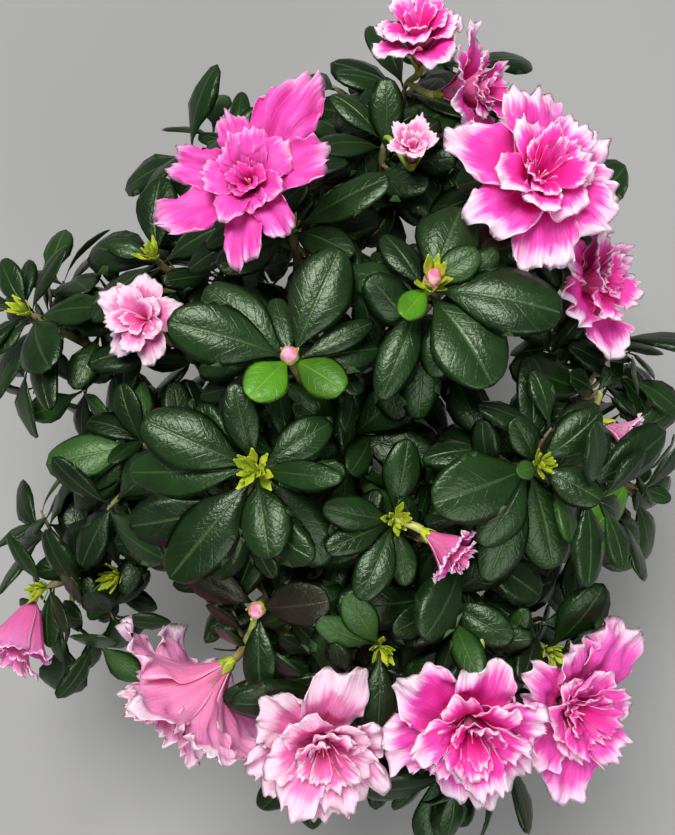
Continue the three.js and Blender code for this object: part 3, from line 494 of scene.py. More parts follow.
def half_breadth(s, length, width, blunt):
    """Half a leaf's breadth at s: half the width times sin(pi t^1.35), where t is s past a short stalk, to a
    power that falls from 1.15 by "blunt", which rounds the tip."""
    t = np.clip((s - 0.06) / 0.94, 0, 1)
    return length * width * 0.5 * np.maximum(np.sin(math.pi * t ** 1.35), 0) ** (1.15 - blunt * t)


def blades(leaves, rows, cols):
    """Leaf blades on a grid of along s (0 root to 1 tip) by across v (-1 to 1).
    The midrib leaves at lift + arch and flattens to lift at the tip. The half width is half_breadth, or the
    stalk's where that is more. The blade is domed by the square of v, grooved along the midrib by a bell
    curve of v, waved along its margin and twisted. Its thickness falls to none at the margin, as a circle
    does. The UV map holds s, and the leaf's number plus v's share from 0 to 1."""
    values = {key: np.array([leaf[key] for leaf in leaves], float) for key in leaves[0] if key != "finish"}
    at, out, up = (values[key][:, None, None, :] for key in ("at", "out", "up"))
    side = np.cross(up, out)
    one = {key: values[key][:, None, None] for key in values if values[key].ndim == 1}
    s = np.asarray(rows)[None, :, None]
    v = np.asarray(cols)[None, None, :]
    climb = one["lift"] + one["arch"] * (1 - s)
    middle = (at + (one["length"] * s * np.cos(climb))[..., None] * out
              + (one["length"] * s * np.sin(climb))[..., None] * up
              + (one["length"] * one["sway"] * s * s)[..., None] * side)
    ahead = unit(np.gradient(middle, axis=1))
    above = unit(np.cross(ahead, side))
    side = np.cross(above, ahead)
    half = np.maximum(half_breadth(s, one["length"], one["width"], one["blunt"]), 0.55 + 0.1 * (1 - s))
    wave = np.sin(ROUND * one["waves"] * s + one["phase"] + 2.0 * v)
    groove = 0.10 * (1 - np.exp(-(v / 0.2) ** 2))
    drop = half * (-one["dome"] * v * v + groove + one["ruffle"] * wave * v * v)
    turn = one["twist"] * s
    level = side * np.cos(turn)[..., None] + above * np.sin(turn)[..., None]
    rise = above * np.cos(turn)[..., None] - side * np.sin(turn)[..., None]
    points = middle + level * (v * half)[..., None] + rise * drop[..., None]
    body = LEAF["half_thick"] * np.sqrt(np.maximum(1 - v * v, 0)) * np.ones_like(half)
    across = np.arange(len(leaves))[:, None, None] + 0.5 + 0.499 * v + 0 * s
    top = np.array([leaf["finish"] for leaf in leaves])
    under = np.full(len(leaves), LEAF_FINISHES.index("under"))
    return sheets(points, body, s + 0 * across, across, top, under)


def tube(path, radius, rings, around, finish=0, relief=None):
    """A limb: rings round a path, each "radius" of its share and turn from it, closed by a cap at each end.
    Relief moves each point away from the path. The UV map holds the length walked and the turn's share."""
    t = np.linspace(0, 1, rings)
    turn = np.linspace(0, ROUND, around, endpoint=False)
    rough = unit(path.knots[3] - path.knots[0])
    side = np.array([0.0, 1.0, 0.0]) if abs(rough[2]) > 0.9 else unit(np.cross(rough, UP))
    ahead = path.tangent(t)
    down = unit(np.cross(ahead, side))
    out = np.cross(down, ahead)
    reach = radius(t[:, None], turn[None, :])
    ring = out[:, None] * np.cos(turn)[None, :, None] + down[:, None] * np.sin(turn)[None, :, None]
    grid = path.point(t)[:, None] + ring * reach[..., None]
    if relief is not None:
        grid = grid + ring * relief(grid, t[:, None], turn[None, :])[..., None]
    ends = path.point(np.array([0.0, 1.0])) + ahead[[0, -1]] * np.array([[-0.2], [0.2]])
    index = np.arange(rings * around).reshape(rings, around)
    index = np.concatenate([index, index[:, :1]], 1)
    quads = grid_faces(index)[:, ::-1]
    turned_by = np.linspace(0, 1, around + 1)[None]
    unrolled = np.stack(np.broadcast_arrays(t[:, None] * path.length, turned_by), -1)
    corner = np.arange(rings * (around + 1)).reshape(rings, around + 1)
    uv = unrolled.reshape(-1, 2)[grid_faces(corner)[:, ::-1]]
    first = np.stack([np.full(around, rings * around), index[0, :-1], index[0, 1:]], -1)
    last = np.stack([np.full(around, rings * around + 1), index[-1, 1:], index[-1, :-1]], -1)
    caps = np.concatenate([first[:, ::-1], last[:, ::-1]])
    points = np.concatenate([grid.reshape(-1, 3), ends])
    return points, [(quads, uv, np.full(len(quads), finish)),
                    (caps, np.zeros((len(caps), 3, 2)), np.full(len(caps), finish))]


def turned(profile, around, relief=None):
    """A turned body from its half profile of (radius, height), underside to top, closed at both poles."""
    profile = np.array(profile, float)
    turn = np.linspace(0, ROUND, around, endpoint=False)
    radius, height = profile[1:-1, 0], profile[1:-1, 1]
    grid = np.stack([radius[:, None] * np.cos(turn), radius[:, None] * np.sin(turn),
                     np.broadcast_to(height[:, None], (len(radius), around))], -1)
    if relief is not None:
        grid = grid + relief(grid)
    rings = len(radius)
    index = np.arange(rings * around).reshape(rings, around)
    index = np.concatenate([index, index[:, :1]], 1)
    quads = grid_faces(index)[:, ::-1]
    poles = np.array([[0, 0, profile[0, 1]], [0, 0, profile[-1, 1]]])
    first = np.stack([np.full(around, rings * around), index[0, 1:], index[0, :-1]], -1)
    last = np.stack([np.full(around, rings * around + 1), index[-1, :-1], index[-1, 1:]], -1)
    caps = np.concatenate([first, last])
    points = np.concatenate([grid.reshape(-1, 3), poles])
    return points, [(quads, np.zeros((len(quads), 4, 2)), np.zeros(len(quads), int)),
                    (caps, np.zeros((len(caps), 3, 2)), np.zeros(len(caps), int))]


def place(name, parts, finishes, replaced=()):
    """One piece of the scene from its parts: a smooth mesh in metres with its UVs and finishes, which rides
    on the root body, takes its finish from a slot and stands for the solids that it replaces."""
    starts = np.cumsum([0] + [len(points) for points, _ in parts])
    corners, sides, uvs, marks = [], [], [], []
    for start, (_, groups) in zip(starts, parts):
        for faces, uv, finish in groups:
            corners.append((faces + start).ravel())
            sides.append(np.full(len(faces), faces.shape[1]))
            uvs.append(uv.reshape(-1, 2))
            marks.append(finish)
    corners, sides = np.concatenate(corners), np.concatenate(sides)
    points = np.concatenate([points for points, _ in parts]) * MM
    mesh = bpy.data.meshes.new(name)
    mesh.vertices.add(len(points))
    mesh.vertices.foreach_set("co", points.astype(np.float32).ravel())
    mesh.loops.add(len(corners))
    mesh.loops.foreach_set("vertex_index", corners.astype(np.int32))
    mesh.polygons.add(len(sides))
    mesh.polygons.foreach_set("loop_start", (np.cumsum(sides) - sides).astype(np.int32))
    mesh.polygons.foreach_set("material_index", np.concatenate(marks).astype(np.int32))
    layer = mesh.uv_layers.new(name="along_across")
    layer.uv.foreach_set("vector", np.concatenate(uvs).astype(np.float32).ravel())
    mesh.update(calc_edges=True)
    mesh.shade_smooth()
    piece = bpy.data.objects.new(name, mesh)
    bpy.context.collection.objects.link(piece)
    for finish in finishes:
        mesh.materials.append(finish)
    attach(piece, "root")
    if replaced:
        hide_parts(*replaced)


# Finishes

class Finish:
    """A material being made: nodes are added to it and wired to its shader."""

    def __init__(self, name, roughness, specular):
        self.material = bpy.data.materials.new(name)
        self.material.use_nodes = True
        self.tree = self.material.node_tree
        self.shader = self.tree.nodes["Principled BSDF"]
        self.shader.inputs["Roughness"].default_value = roughness
        self.shader.inputs["Specular IOR Level"].default_value = specular

    def node(self, kind, inputs=(), **settings):
        """A node with its settings, and its inputs given as sockets or values."""
        node = self.tree.nodes.new(kind)
        for key, value in settings.items():
            setattr(node, key, value)
        for key, value in dict(inputs).items():
            self.feed(node.inputs[key], value)
        return node

    def feed(self, socket, value):
        """A socket is wired to another socket, or set to a value."""
        if isinstance(value, bpy.types.NodeSocket):
            self.tree.links.new(value, socket)
        else:
            socket.default_value = value

    def maths(self, operation, *values, clamp=False):
        """The result of a sum on sockets and numbers."""
        node = self.node("ShaderNodeMath", enumerate(values), operation=operation, use_clamp=clamp)
        return node.outputs[0]

    def plus(self, first, second):
        """The sum of two sockets or numbers."""
        return self.maths("ADD", first, second)

    def minus(self, first, second):
        """The first socket or number less the second."""
        return self.maths("SUBTRACT", first, second)

    def times(self, first, second):
        """The product of two sockets or numbers."""
        return self.maths("MULTIPLY", first, second)

    def between(self, value, low, high):
        """How far a value is from low to high, eased, from 0 to 1."""
        node = self.node("ShaderNodeMapRange", {"Value": value, "From Min": low, "From Max": high},
                         interpolation_type="SMOOTHSTEP")
        return node.outputs["Result"]

    def blend(self, factor, first, second):
        """A colour between two, each given as a socket or as red, green and blue."""
        node = self.tree.nodes.new("ShaderNodeMix")
        node.data_type = "RGBA"
        colours = [socket for socket in node.inputs if socket.type == "RGBA"]
        self.feed(node.inputs[0], factor)
        for socket, colour in zip(colours, (first, second)):
            self.feed(socket, colour if isinstance(colour, bpy.types.NodeSocket) else (*colour, 1))
        return [socket for socket in node.outputs if socket.type == "RGBA"][0]

    def noise(self, vector, scale, detail):
        """Soft noise from 0 to 1 over a vector."""
        node = self.node("ShaderNodeTexNoise", {"Vector": vector, "Scale": scale, "Detail": detail})
        return node.outputs[0]

    def drawn_out(self, along, across, stretch, detail):
        """Noise drawn out along a petal: "stretch" is how closely it follows along and across."""
        place_on = self.vector(self.times(along, stretch[0]), self.times(across, stretch[1]))
        return self.noise(place_on, 1.0, detail)

    def off_middle(self, across):
        """How far a place is from the middle line of its leaf or petal, from 0 to 1 at the margin."""
        share = self.maths("FRACT", across)
        return self.maths("ABSOLUTE", self.times(self.minus(share, 0.5), 2.0))

    def object_place(self):
        """The place on the piece, in metres."""
        return self.node("ShaderNodeTexCoord").outputs["Object"]

    def along_across(self):
        """The two numbers of the piece's own UV map."""
        parts = self.node("ShaderNodeSeparateXYZ", {0: self.node("ShaderNodeUVMap").outputs[0]})
        return parts.outputs[0], parts.outputs[1]

    def vector(self, x, y, z=0.0):
        """A vector from three sockets or numbers."""
        return self.node("ShaderNodeCombineXYZ", {0: x, 1: y, 2: z}).outputs[0]

    def bump(self, height, strength, distance):
        """Relief from a height, wired to the shader's normal."""
        node = self.node("ShaderNodeBump", {"Height": height, "Strength": strength, "Distance": distance})
        self.feed(self.shader.inputs["Normal"], node.outputs[0])

    def colour(self, value):
        """The base colour, given as a socket."""
        self.feed(self.shader.inputs["Base Color"], value)


def scaled(colour, factor):
    """A colour made darker or lighter."""
    return tuple(channel * factor for channel in colour)


def tinted(colour, tint, share):
    """The colour a share of the way from one to another."""
    return tuple((1 - share) * a + share * b for a, b in zip(colour, tint))


def leaf_finish(name, base, rib, roughness):
    """A glossy leaf: its own green, a paler midrib and side veins that slope to the tip, and quilting."""
    finish = Finish("leaf_" + name, roughness, 0.34)
    finish.shader.inputs["Specular Tint"].default_value = (0.82, 1.0, 0.72, 1)
    s, across = finish.along_across()
    v = finish.off_middle(across)
    midrib = finish.minus(1.0, finish.between(v, 0.015, 0.085))
    slope = finish.minus(finish.times(s, 8.0), finish.times(v, 2.2))
    veins = finish.minus(1.0, finish.between(finish.maths("PINGPONG", slope, 0.5), 0.0, 0.09))
    place_on = finish.object_place()
    pebble = finish.noise(place_on, 750.0, 3.0)
    cloud = finish.noise(place_on, 90.0, 2.0)
    each = finish.noise(finish.vector(finish.maths("FLOOR", across), 3.7), 1.7, 0.0)
    shade = finish.between(finish.times(finish.plus(cloud, each), 0.5), 0.32, 0.68)
    tone = finish.blend(shade, scaled(base, 0.55), scaled(base, 1.25))
    lines = finish.maths("ADD", finish.times(midrib, 0.40), finish.times(veins, 0.05), clamp=True)
    finish.colour(finish.blend(lines, tone, rib))
    ribs = finish.plus(finish.times(midrib, 0.5), finish.times(veins, 0.14))
    finish.bump(finish.minus(finish.times(pebble, 0.6), ribs), 0.7, 0.0006)
    finish.feed(finish.shader.inputs["Roughness"], finish.plus(roughness - 0.08, finish.times(cloud, 0.18)))
    return finish.material


def petal_finish(name, heart, flesh, margin, start, reach, vein=0.42):
    """A petal: a deep heart that streaks outwards, flesh with fine radiating veins, and a pale margin whose
    edge wanders. "start" is where the margin begins along the petal and "reach" how far the heart runs."""
    finish = Finish("petal_" + name, 0.55, 0.25)
    u, across = finish.along_across()
    v = finish.off_middle(across)
    streak = finish.drawn_out(u, across, (1.1, 17.0), 4.0)
    cloud = finish.drawn_out(u, across, (2.4, 3.1), 2.0)
    thread = finish.drawn_out(u, across, (1.8, 46.0), 2.0)
    wander = finish.times(finish.minus(streak, 0.5), 0.36)
    drift = finish.times(finish.minus(cloud, 0.5), 0.42)
    edge = finish.maths("MAXIMUM", u, finish.times(v, 0.93))
    edge = finish.plus(finish.plus(edge, wander), drift)
    pale = finish.between(edge, start - 0.09, start + 0.13)
    deep = finish.minus(1.0, finish.between(finish.plus(u, wander), reach - 0.3, reach + 0.25))
    tone = finish.blend(finish.between(cloud, 0.3, 0.7), flesh, tuple(channel ** 0.8 for channel in flesh))
    colour = finish.blend(pale, finish.blend(deep, tone, heart), margin)
    veins = finish.times(finish.between(thread, 0.50, 0.66), vein)
    veins = finish.times(veins, finish.minus(1.0, finish.times(pale, 0.55)))
    finish.colour(finish.blend(veins, colour, scaled(heart, 0.8)))
    finish.bump(finish.plus(thread, finish.times(cloud, 2.0)), 0.35, 0.0008)
    finish.shader.inputs["Subsurface Weight"].default_value = 0.6
    finish.shader.inputs["Subsurface Radius"].default_value = (1.0, 0.35, 0.7)
    finish.shader.inputs["Subsurface Scale"].default_value = 0.004
    return finish.material


def plain_finish(name, low, high, size, roughness):
    """A fleshy surface: two tones that drift into each other over "size" metres, and fine relief."""
    finish = Finish(name, roughness, 0.4)
    place_on = finish.object_place()
    cloud = finish.noise(place_on, 1 / size, 4.0)
    finish.colour(finish.blend(finish.between(cloud, 0.35, 0.65), low, high))
    finish.bump(finish.noise(place_on, 4 / size, 4.0), 0.6, 0.0002)
    return finish.material


def bark_finish():
    """Grey-brown bark with fine lengthwise cracks, which follow each limb by its UV map."""
    finish = Finish("bark", 0.9, 0.2)
    along, around = finish.along_across()
    turn = finish.times(around, ROUND)
    ring = finish.maths("SINE", turn), finish.maths("COSINE", turn)
    grain = finish.noise(finish.vector(finish.times(along, 0.16), *ring), 5.0, 5.0)
    patches = finish.noise(finish.object_place(), 140.0, 3.0)
    tone = finish.blend(finish.between(grain, 0.35, 0.7), (0.055, 0.036, 0.022), (0.24, 0.17, 0.11))
    lichen = finish.times(finish.between(patches, 0.45, 0.75), 0.5)
    finish.colour(finish.blend(lichen, tone, (0.20, 0.20, 0.16)))
    finish.bump(grain, 0.9, 0.0012)
    return finish.material


def twig_finish():
    """Young wood: green at the tips of the shoots, browner and rougher lower down, with small scars."""
    finish = Finish("twig", 0.7, 0.3)
    place_on = finish.object_place()
    cloud = finish.noise(place_on, 160.0, 3.0)
    scars = finish.noise(place_on, 600.0, 2.0)
    tone = finish.blend(finish.between(cloud, 0.35, 0.65), (0.12, 0.085, 0.04), (0.16, 0.17, 0.06))
    finish.colour(finish.blend(finish.between(scars, 0.62, 0.75), tone, (0.06, 0.035, 0.02)))
    finish.bump(scars, 0.7, 0.0005)
    return finish.material


def peat_finish():
    """Damp peat: near black with brown fibres and a few pale grains."""
    finish = Finish("peat", 0.95, 0.15)
    place_on = finish.object_place()
    crumbs = finish.noise(place_on, 420.0, 5.0)
    grains = finish.noise(place_on, 1300.0, 1.0)
    tone = finish.blend(finish.between(crumbs, 0.35, 0.7), (0.010, 0.007, 0.005), (0.060, 0.036, 0.020))
    finish.colour(finish.blend(finish.between(grains, 0.74, 0.8), tone, (0.30, 0.26, 0.20)))
    finish.bump(crumbs, 1.0, 0.002)
    return finish.material


def pot_finish():
    """Moulded plastic of a terracotta brown: a faint orange peel, and edges and foot a little rubbed."""
    finish = Finish("pot_plastic", 0.42, 0.5)
    place_on = finish.object_place()
    cloud = finish.noise(place_on, 45.0, 4.0)
    scuffs = finish.noise(place_on, 380.0, 5.0)
    height = finish.node("ShaderNodeSeparateXYZ", {0: place_on}).outputs[2]
    foot = finish.minus(1.0, finish.between(height, 0.0, 0.012))
    rim = finish.between(height, 0.1155, 0.118)
    edges = finish.times(finish.maths("ADD", foot, rim, clamp=True), 0.6)
    rubbed = finish.times(finish.between(scuffs, 0.5, 0.66), edges)
    tone = finish.blend(finish.between(cloud, 0.3, 0.7), (0.25, 0.078, 0.037), (0.32, 0.108, 0.054))
    finish.colour(finish.blend(rubbed, tone, (0.42, 0.22, 0.14)))
    finish.bump(scuffs, 0.25, 0.0003)
    finish.feed(finish.shader.inputs["Roughness"], finish.plus(0.36, finish.times(scuffs, 0.16)))
    return finish.material


leaf_materials = [leaf_finish(name, *tones) for name, tones in LEAF_TONES.items()]
scale_material = plain_finish("bud_scale", (0.24, 0.34, 0.015), (0.46, 0.50, 0.03), 0.006, 0.45)
stalk_material = plain_finish("stalk", (0.22, 0.30, 0.05), (0.42, 0.40, 0.12), 0.008, 0.5)
bud_material = plain_finish("bud_petal", (0.80, 0.16, 0.36), (0.86, 0.46, 0.56), 0.004, 0.5)


def bloom_materials(name):
    """The materials of a bloom's colouring, in the order of BLOOM_FINISHES. The backs are paler with stronger
    veins, and the heart has deeper flesh and less margin."""
    heart, flesh, margin, start, reach = PETAL_TONES[name]
    backs = [tinted(colour, BACK_TINT, 0.18) for colour in (heart, flesh, margin)]
    inner = tinted(heart, flesh, 0.65)
    return [petal_finish(name, heart, flesh, margin, start, reach),
            petal_finish(name + "_back", *backs, start, reach, vein=0.55),
            stalk_material, scale_material, bud_material,
            petal_finish(name + "_heart", heart, inner, margin, start + 0.06, reach + 0.1)]


blossom_materials = {name: bloom_materials(name) for name in PETAL_TONES}


# Petals

def corolla(base, axes, petals, rows, cols, front):
    """Petals on a grid of along u (0 throat to 1 tip) by across v (-1 to 1), laid on a funnel.
    The distance is the throat's radius plus the rest of the reach times u to the power "flare". It falls by
    a share of 1 - sqrt(1 - 0.92 v^2), which rounds the tip like a part of a circle, and is scalloped there.
    The half width rises as 1 - (1 - u)^2.2. The turn is the bearing, v times half width over distance, held
    under "joined" by tanh, and the sway times u^2.
    The height is the funnel's climb, the slant and roll times the distance, a groove down the middle and a
    curl past halfway, with waves on both side margins (|v|^2.5), on the tip (u^4), a frill at the edge and
    two sizes of crumples, which differ from petal to petal."""
    u = np.linspace(0, 1, rows)[None, :, None] ** 0.85
    v = np.linspace(-1, 1, cols)[None, None, :]
    value = {key: np.array([one[key] for one in petals])[:, None, None] for key in petals[0]}
    throat = value["throat"] * np.sin(np.minimum(1, 8 * u) * math.pi / 2)
    distance = (value["reach"] - value["throat"]) * u ** value["flare"] + throat
    half = value["half"] * (1 - (1 - u) ** 2.2) * (1 - 0.08 * u ** 6)
    widest = value["joined"]
    half_span = widest * np.tanh(half / (np.maximum(distance, 0.5) * widest))
    half_span = half_span + (widest - half_span) * (1 - u) ** 6
    turn = value["bearing"] + v * half_span + value["sway"] * u * u
    edge = u ** 9 + np.abs(v) ** 7 * u ** 1.5
    along_edge = ROUND * value["frills"] * (v + 1.4 * (1 - u) * np.tanh(6 * v)) + value["phase"]
    frill = edge * np.sin(along_edge) * (1 + 0.5 * np.sin(0.37 * along_edge))
    distance = distance * (1 - 0.42 * (1 - np.sqrt(1 - 0.92 * v * v)) * u * u)
    distance = distance * (1 + 0.05 * u ** 5 * np.sin(ROUND * 0.7 * v + value["phase"]) + 0.020 * frill)
    climb = value["depth"] * np.sin(np.minimum(1, u * 1.15) * math.pi / 2) ** 0.8
    height = climb + (value["slant"] + value["roll"] * v) * distance
    height = height - value["groove"] * np.exp(-(v / 0.2) ** 2) * np.sin(math.pi * u) ** 0.7
    height = height + value["curl"] * np.maximum(u - 0.5, 0) ** 2 * 4
    side_wave = np.sin(ROUND * value["waves"] * u + value["phase"] + 1.3 * v)
    height = height + value["side"] * np.abs(v) ** 2.5 * u * (1 - 0.5 * u ** 3) * side_wave
    tip_wave = np.sin(math.pi * value["crests"] * v + 2 * value["phase"])
    height = height + value["tip"] * u ** 4 * (1 - 0.6 * v ** 4) * tip_wave
    height = height + value["frill"] * frill
    x, y, z = axes
    radial = np.cos(turn)[..., None] * x + np.sin(turn)[..., None] * y
    points = base + radial * distance[..., None] + z * height[..., None]
    number = np.arange(len(petals))[:, None, None]
    apart = points + 40.0 * number[..., None]
    crumple = value["crumple"] * (ripples(apart, 16.0, 5) * u + 0.45 * ripples(apart, 7.0, 6) * u * u)
    points = points + z * crumple[..., None]
    across = number + 0.5 + 0.499 * v + 0 * u
    half_thick = PETAL["half_thick"] * np.ones_like(height)
    top = np.full(len(petals), BLOOM_FINISHES.index(front))
    under = np.full(len(petals), BLOOM_FINISHES.index("back"))
    return sheets(points, half_thick, u + 0 * across, across, top, under)


def petal(bearing, reach, half, joined, depth, slant, ruffle, random, flare=PETAL["flare"]):
    """One petal: its place and size as given, and its own slant, roll, waves and frill. Angles in degrees."""
    own = draw(PETAL_DRAWS, random)
    own["slant"] += slant
    for key in ("groove", "curl"):
        own[key] *= reach
    for key in ("side", "tip"):
        own[key] *= reach * ruffle
    return {**own, "bearing": math.radians(bearing), "reach": reach, "half": half, "depth": depth,
            "throat": PETAL["throat"] * reach, "joined": math.radians(joined), "flare": flare,
            "frill": 0.25 + 0.019 * reach, "crumple": 0.3 + 0.035 * reach}


def outer_petals(name, bloom, random):
    """The outer petals of a bloom, one to a lobe, no broader than petals are, and joined in the throat."""
    lobes, depth, petals = bloom["lobes"], bloom["depth"], []
    share, most = NARROW.get(name, PETAL["half"]), PETAL["most"]
    if depth > PETAL["cup"]:
        share, most = PETAL["cup_half"], PETAL["cup_most"]
    for k, (bearing, reach) in enumerate(lobes):
        gap = (lobes[(k + 1) % len(lobes)][0] - lobes[k - 1][0]) % 360
        span = math.radians(min(OUTER["most_span"], OUTER["span"] * gap))
        half = min(share * reach + 1, most, reach * math.tan(span))
        joined = min(OUTER["most_joined"], OUTER["joined"] * gap)
        petals.append(petal(bearing, reach * OUTER["reach"], half, joined, depth, SLOPES.get(name, 0),
                            bloom["ruffle"], random, BELLS.get(name, PETAL["flare"])))
    return petals


def middle_petals(bloom, random):
    """The second ring of a double bloom: petals over the gaps of the first, shorter and standing more."""
    lobes, depth = bloom["lobes"], bloom["depth"] * MIDDLE["deeper"]
    share = MIDDLE["reach"] + MIDDLE["frill"] * bloom["frill"]
    petals = []
    for k, (bearing, reach) in enumerate(lobes):
        after = lobes[(k + 1) % len(lobes)]
        reach = 0.5 * (reach + after[1]) * share * pick(*MIDDLE["vary"], random)
        slant = pick(*MIDDLE["slant"], random)
        petals.append(petal(bearing + (after[0] - bearing) % 360 * 0.5, reach, PETAL["half"] * reach + 1,
                            PETAL["joined"], depth, slant, bloom["ruffle"], random))
    return petals


def heart_petals(bloom, random):
    """The crumpled scraps at the heart: small, steep and folded, each one turn from the last."""
    first = 360 * next(random)
    petals = []
    for k in range(HEART["small_number"] if bloom["small"] else HEART["number"]):
        reach = bloom["mean"] * max(bloom["frill"], HEART["least_frill"]) * pick(*HEART["reach"], random)
        depth = bloom["depth"] * pick(*HEART["deep"], random)
        slant = pick(*HEART["slant"], random)
        petals.append(petal(first + k * LEAF["turn"], reach, reach * HEART["half"], PETAL["joined"], depth,
                            slant, bloom["ruffle"] * HEART["ruffle"], random))
    return petals


def scales(at, axes, count, length, width, lift, random, spread=0.0):
    """Small pointed bracts round an axis, one turn apart. By "spread", each sits lower and less steep than
    the last."""
    x, y, z = axes
    found = []
    for k in range(count):
        angle = math.radians(k * LEAF["turn"]) + next(random)
        found.append({**BRACT, "at": at - z * (SCALES["drop"] * k * spread), "up": z,
                      "out": x * math.cos(angle) + y * math.sin(angle),
                      "length": length * pick(*SCALES["vary"], random), "width": width,
                      "lift": math.radians(lift - SCALES["fall"] * k * spread)})
    return found


def egg(base, axes, length, width, finish):
    """A bud: rings round an axis whose radius is the sine of a share that bulges low and draws to a point,
    with five ridges that wind up it."""
    def radius(t, turn):
        swell = np.sin(math.pi * np.clip(t, 0.03, 0.985) ** 0.8) ** 0.8
        return 0.5 * width * swell * (1 + 0.08 * np.cos(5 * turn + 7 * t))
    return tube(straight(base, base + axes[2] * length), radius, 14, 15, finish)


def seat(part, finish):
    """A part with one finish on all its faces."""
    points, groups = part
    return points, [(faces, uv, np.full(len(faces), finish)) for faces, uv, _ in groups]


def taper(foot, tip):
    """A radius that falls evenly from foot to tip."""
    return lambda t, turn: foot + (tip - foot) * t + 0 * turn


def pointed(foot, tip):
    """A radius that falls evenly from foot to tip, and is drawn in at the very tip."""
    return lambda t, turn: (foot + (tip - foot) * t) * np.where(t > 0.99, 0.4, 1.0) + 0 * turn


def read_bloom(name):
    """A bloom's row by its words, with its lobes' mean reach and what its size makes of its ruffles."""
    bloom = dict(zip(BLOOM_WORDS, BLOOMS[name]))
    reaches = [reach for _, reach in bloom["lobes"]]
    bloom["mean"] = sum(reaches) / len(reaches)
    bloom["small"] = reaches[0] < SMALL
    kind = "small" if bloom["small"] else ("cup" if bloom["depth"] > PETAL["cup"] else "open")
    bloom["ruffle"] = RUFFLES[kind]
    return bloom


def grow_stalk(base, facing, carrier):
    """The stalk of a bloom: a tube from the tip that carries it into the throat."""
    path = sweep(carrier["path"].point(1), carrier["axis"], base + facing * STALK["into"], facing)
    rings = max(STALK["least_rings"], int(path.length / STALK["ring"]))
    finish = BLOOM_FINISHES.index("stalk")
    return tube(path, taper(STALK["foot"], STALK["tip"]), rings, STALK["sides"], finish)


def grow_threads(base, facing, axes, bloom, random):
    """The stamens: thin tubes from the throat, which lean apart."""
    x, y, _ = axes
    threads = []
    for k in range(THREAD["small_number"] if bloom["small"] else THREAD["number"]):
        out = x * math.cos(k * THREAD["turn"]) + y * math.sin(k * THREAD["turn"])
        length = pick(*THREAD["length"], random)
        end = base + facing * bloom["depth"] * length + out * pick(*THREAD["out"], random)
        path = sweep(base + facing * THREAD["start"], facing, end, unit(facing + THREAD["lean"] * out))
        threads.append(tube(path, taper(THREAD["foot"], THREAD["tip"]), THREAD["rings"], THREAD["sides"],
                            BLOOM_FINISHES.index("thread")))
    return threads


def grow_bloom(number, name, masses):
    """A bloom and its parts: three rings of petals, its stalk, calyx and threads. The rings and the calyx
    have names of their own too, because leaves stay clear of them."""
    bloom = read_bloom(name)
    random = dice(BLOOM_SEED + number)
    facing = heading(*(math.radians(angle) for angle in bloom["faces"]))
    axes = frame_on(facing)
    base = spot(bloom["seen"], bloom["height"]) - facing * bloom["depth"] * 0.5
    mass, shoot_number = bloom["carrier"]
    petals = {"outer": outer_petals(name, bloom, random), "middle": middle_petals(bloom, random),
              "heart": heart_petals(bloom, random)}
    rings = {ring: corolla(base + facing * start, axes, petals[ring], rows, cols, front)
             for ring, (start, rows, cols, front) in RINGS.items()}
    stalk = grow_stalk(base, facing, masses[mass][shoot_number])
    sepals = scales(base - facing * CALYX["below"], axes, CALYX["sepals"], CALYX["length"], CALYX["width"],
                    CALYX["lift"], random)
    calyx = seat(blades(sepals, PLAIN_ROWS, PLAIN_COLS), BLOOM_FINISHES.index("calyx"))
    threads = grow_threads(base, facing, axes, bloom, random)
    return {**bloom, "rings": rings, "calyx": calyx, "parts": [*rings.values(), stalk, calyx, *threads]}


# Growing

class Crowd:
    """What has been placed so far, as rough shapes that a new leaf has to stay clear of."""

    def __init__(self):
        self.trees = []
        self.owners = []
        self.centres = np.zeros((MOST_SHAPES, 3))
        self.reaches = np.zeros(MOST_SHAPES)

    def add(self, tree, points, owner):
        """A rough shape is noted with its middle, its reach and its owner."""
        self.centres[len(self.trees)] = points.mean(0)
        self.reaches[len(self.trees)] = np.linalg.norm(points - points.mean(0), axis=1).max()
        self.trees.append(tree)
        self.owners.append(owner)

    def meets(self, tree, points, owner):
        """Whether a rough shape cuts through one of those near it that its owner doesn't hold."""
        reach = np.linalg.norm(points - points.mean(0), axis=1).max()
        away = np.linalg.norm(self.centres[:len(self.trees)] - points.mean(0), axis=1)
        near = np.nonzero(away < self.reaches[:len(self.trees)] + reach)[0]
        return any(self.owners[i] != owner and self.trees[i].overlap(tree) for i in near)


crowd = Crowd()
rough_faces = grid_faces(np.arange(len(ROUGH_ROWS) * len(ROUGH_COLS)).reshape(len(ROUGH_ROWS), -1)).tolist()


def rough(leaf):
    """The rough shape of a leaf: a few points on its middle surface, by the same formula as blades.
    The midrib's slope is the climb less the arc tangent of arch times s."""
    s, v = np.array(ROUGH_ROWS), np.array(ROUGH_COLS)
    side = np.cross(leaf["up"], leaf["out"])
    climb = leaf["lift"] + leaf["arch"] * (1 - s)
    slope = climb - np.arctan(leaf["arch"] * s)
    above = np.outer(np.cos(slope), leaf["up"]) - np.outer(np.sin(slope), leaf["out"])
    line = leaf["at"] + leaf["length"] * (np.outer(s * np.cos(climb), leaf["out"])
                                          + np.outer(s * np.sin(climb), leaf["up"])
                                          + np.outer(leaf["sway"] * s * s, side))
    half = half_breadth(s, leaf["length"], leaf["width"], leaf["blunt"])[:, None]
    turn = (leaf["twist"] * s)[:, None]
    level = side * np.cos(turn) + above * np.sin(turn)
    rise = above * np.cos(turn) - side * np.sin(turn)
    points = (line[:, None] + level[:, None] * (half * v)[..., None]
              - rise[:, None] * (half * leaf["dome"] * v ** 2)[..., None]).reshape(-1, 3)
    return BVHTree.FromPolygons(points.tolist(), rough_faces), points


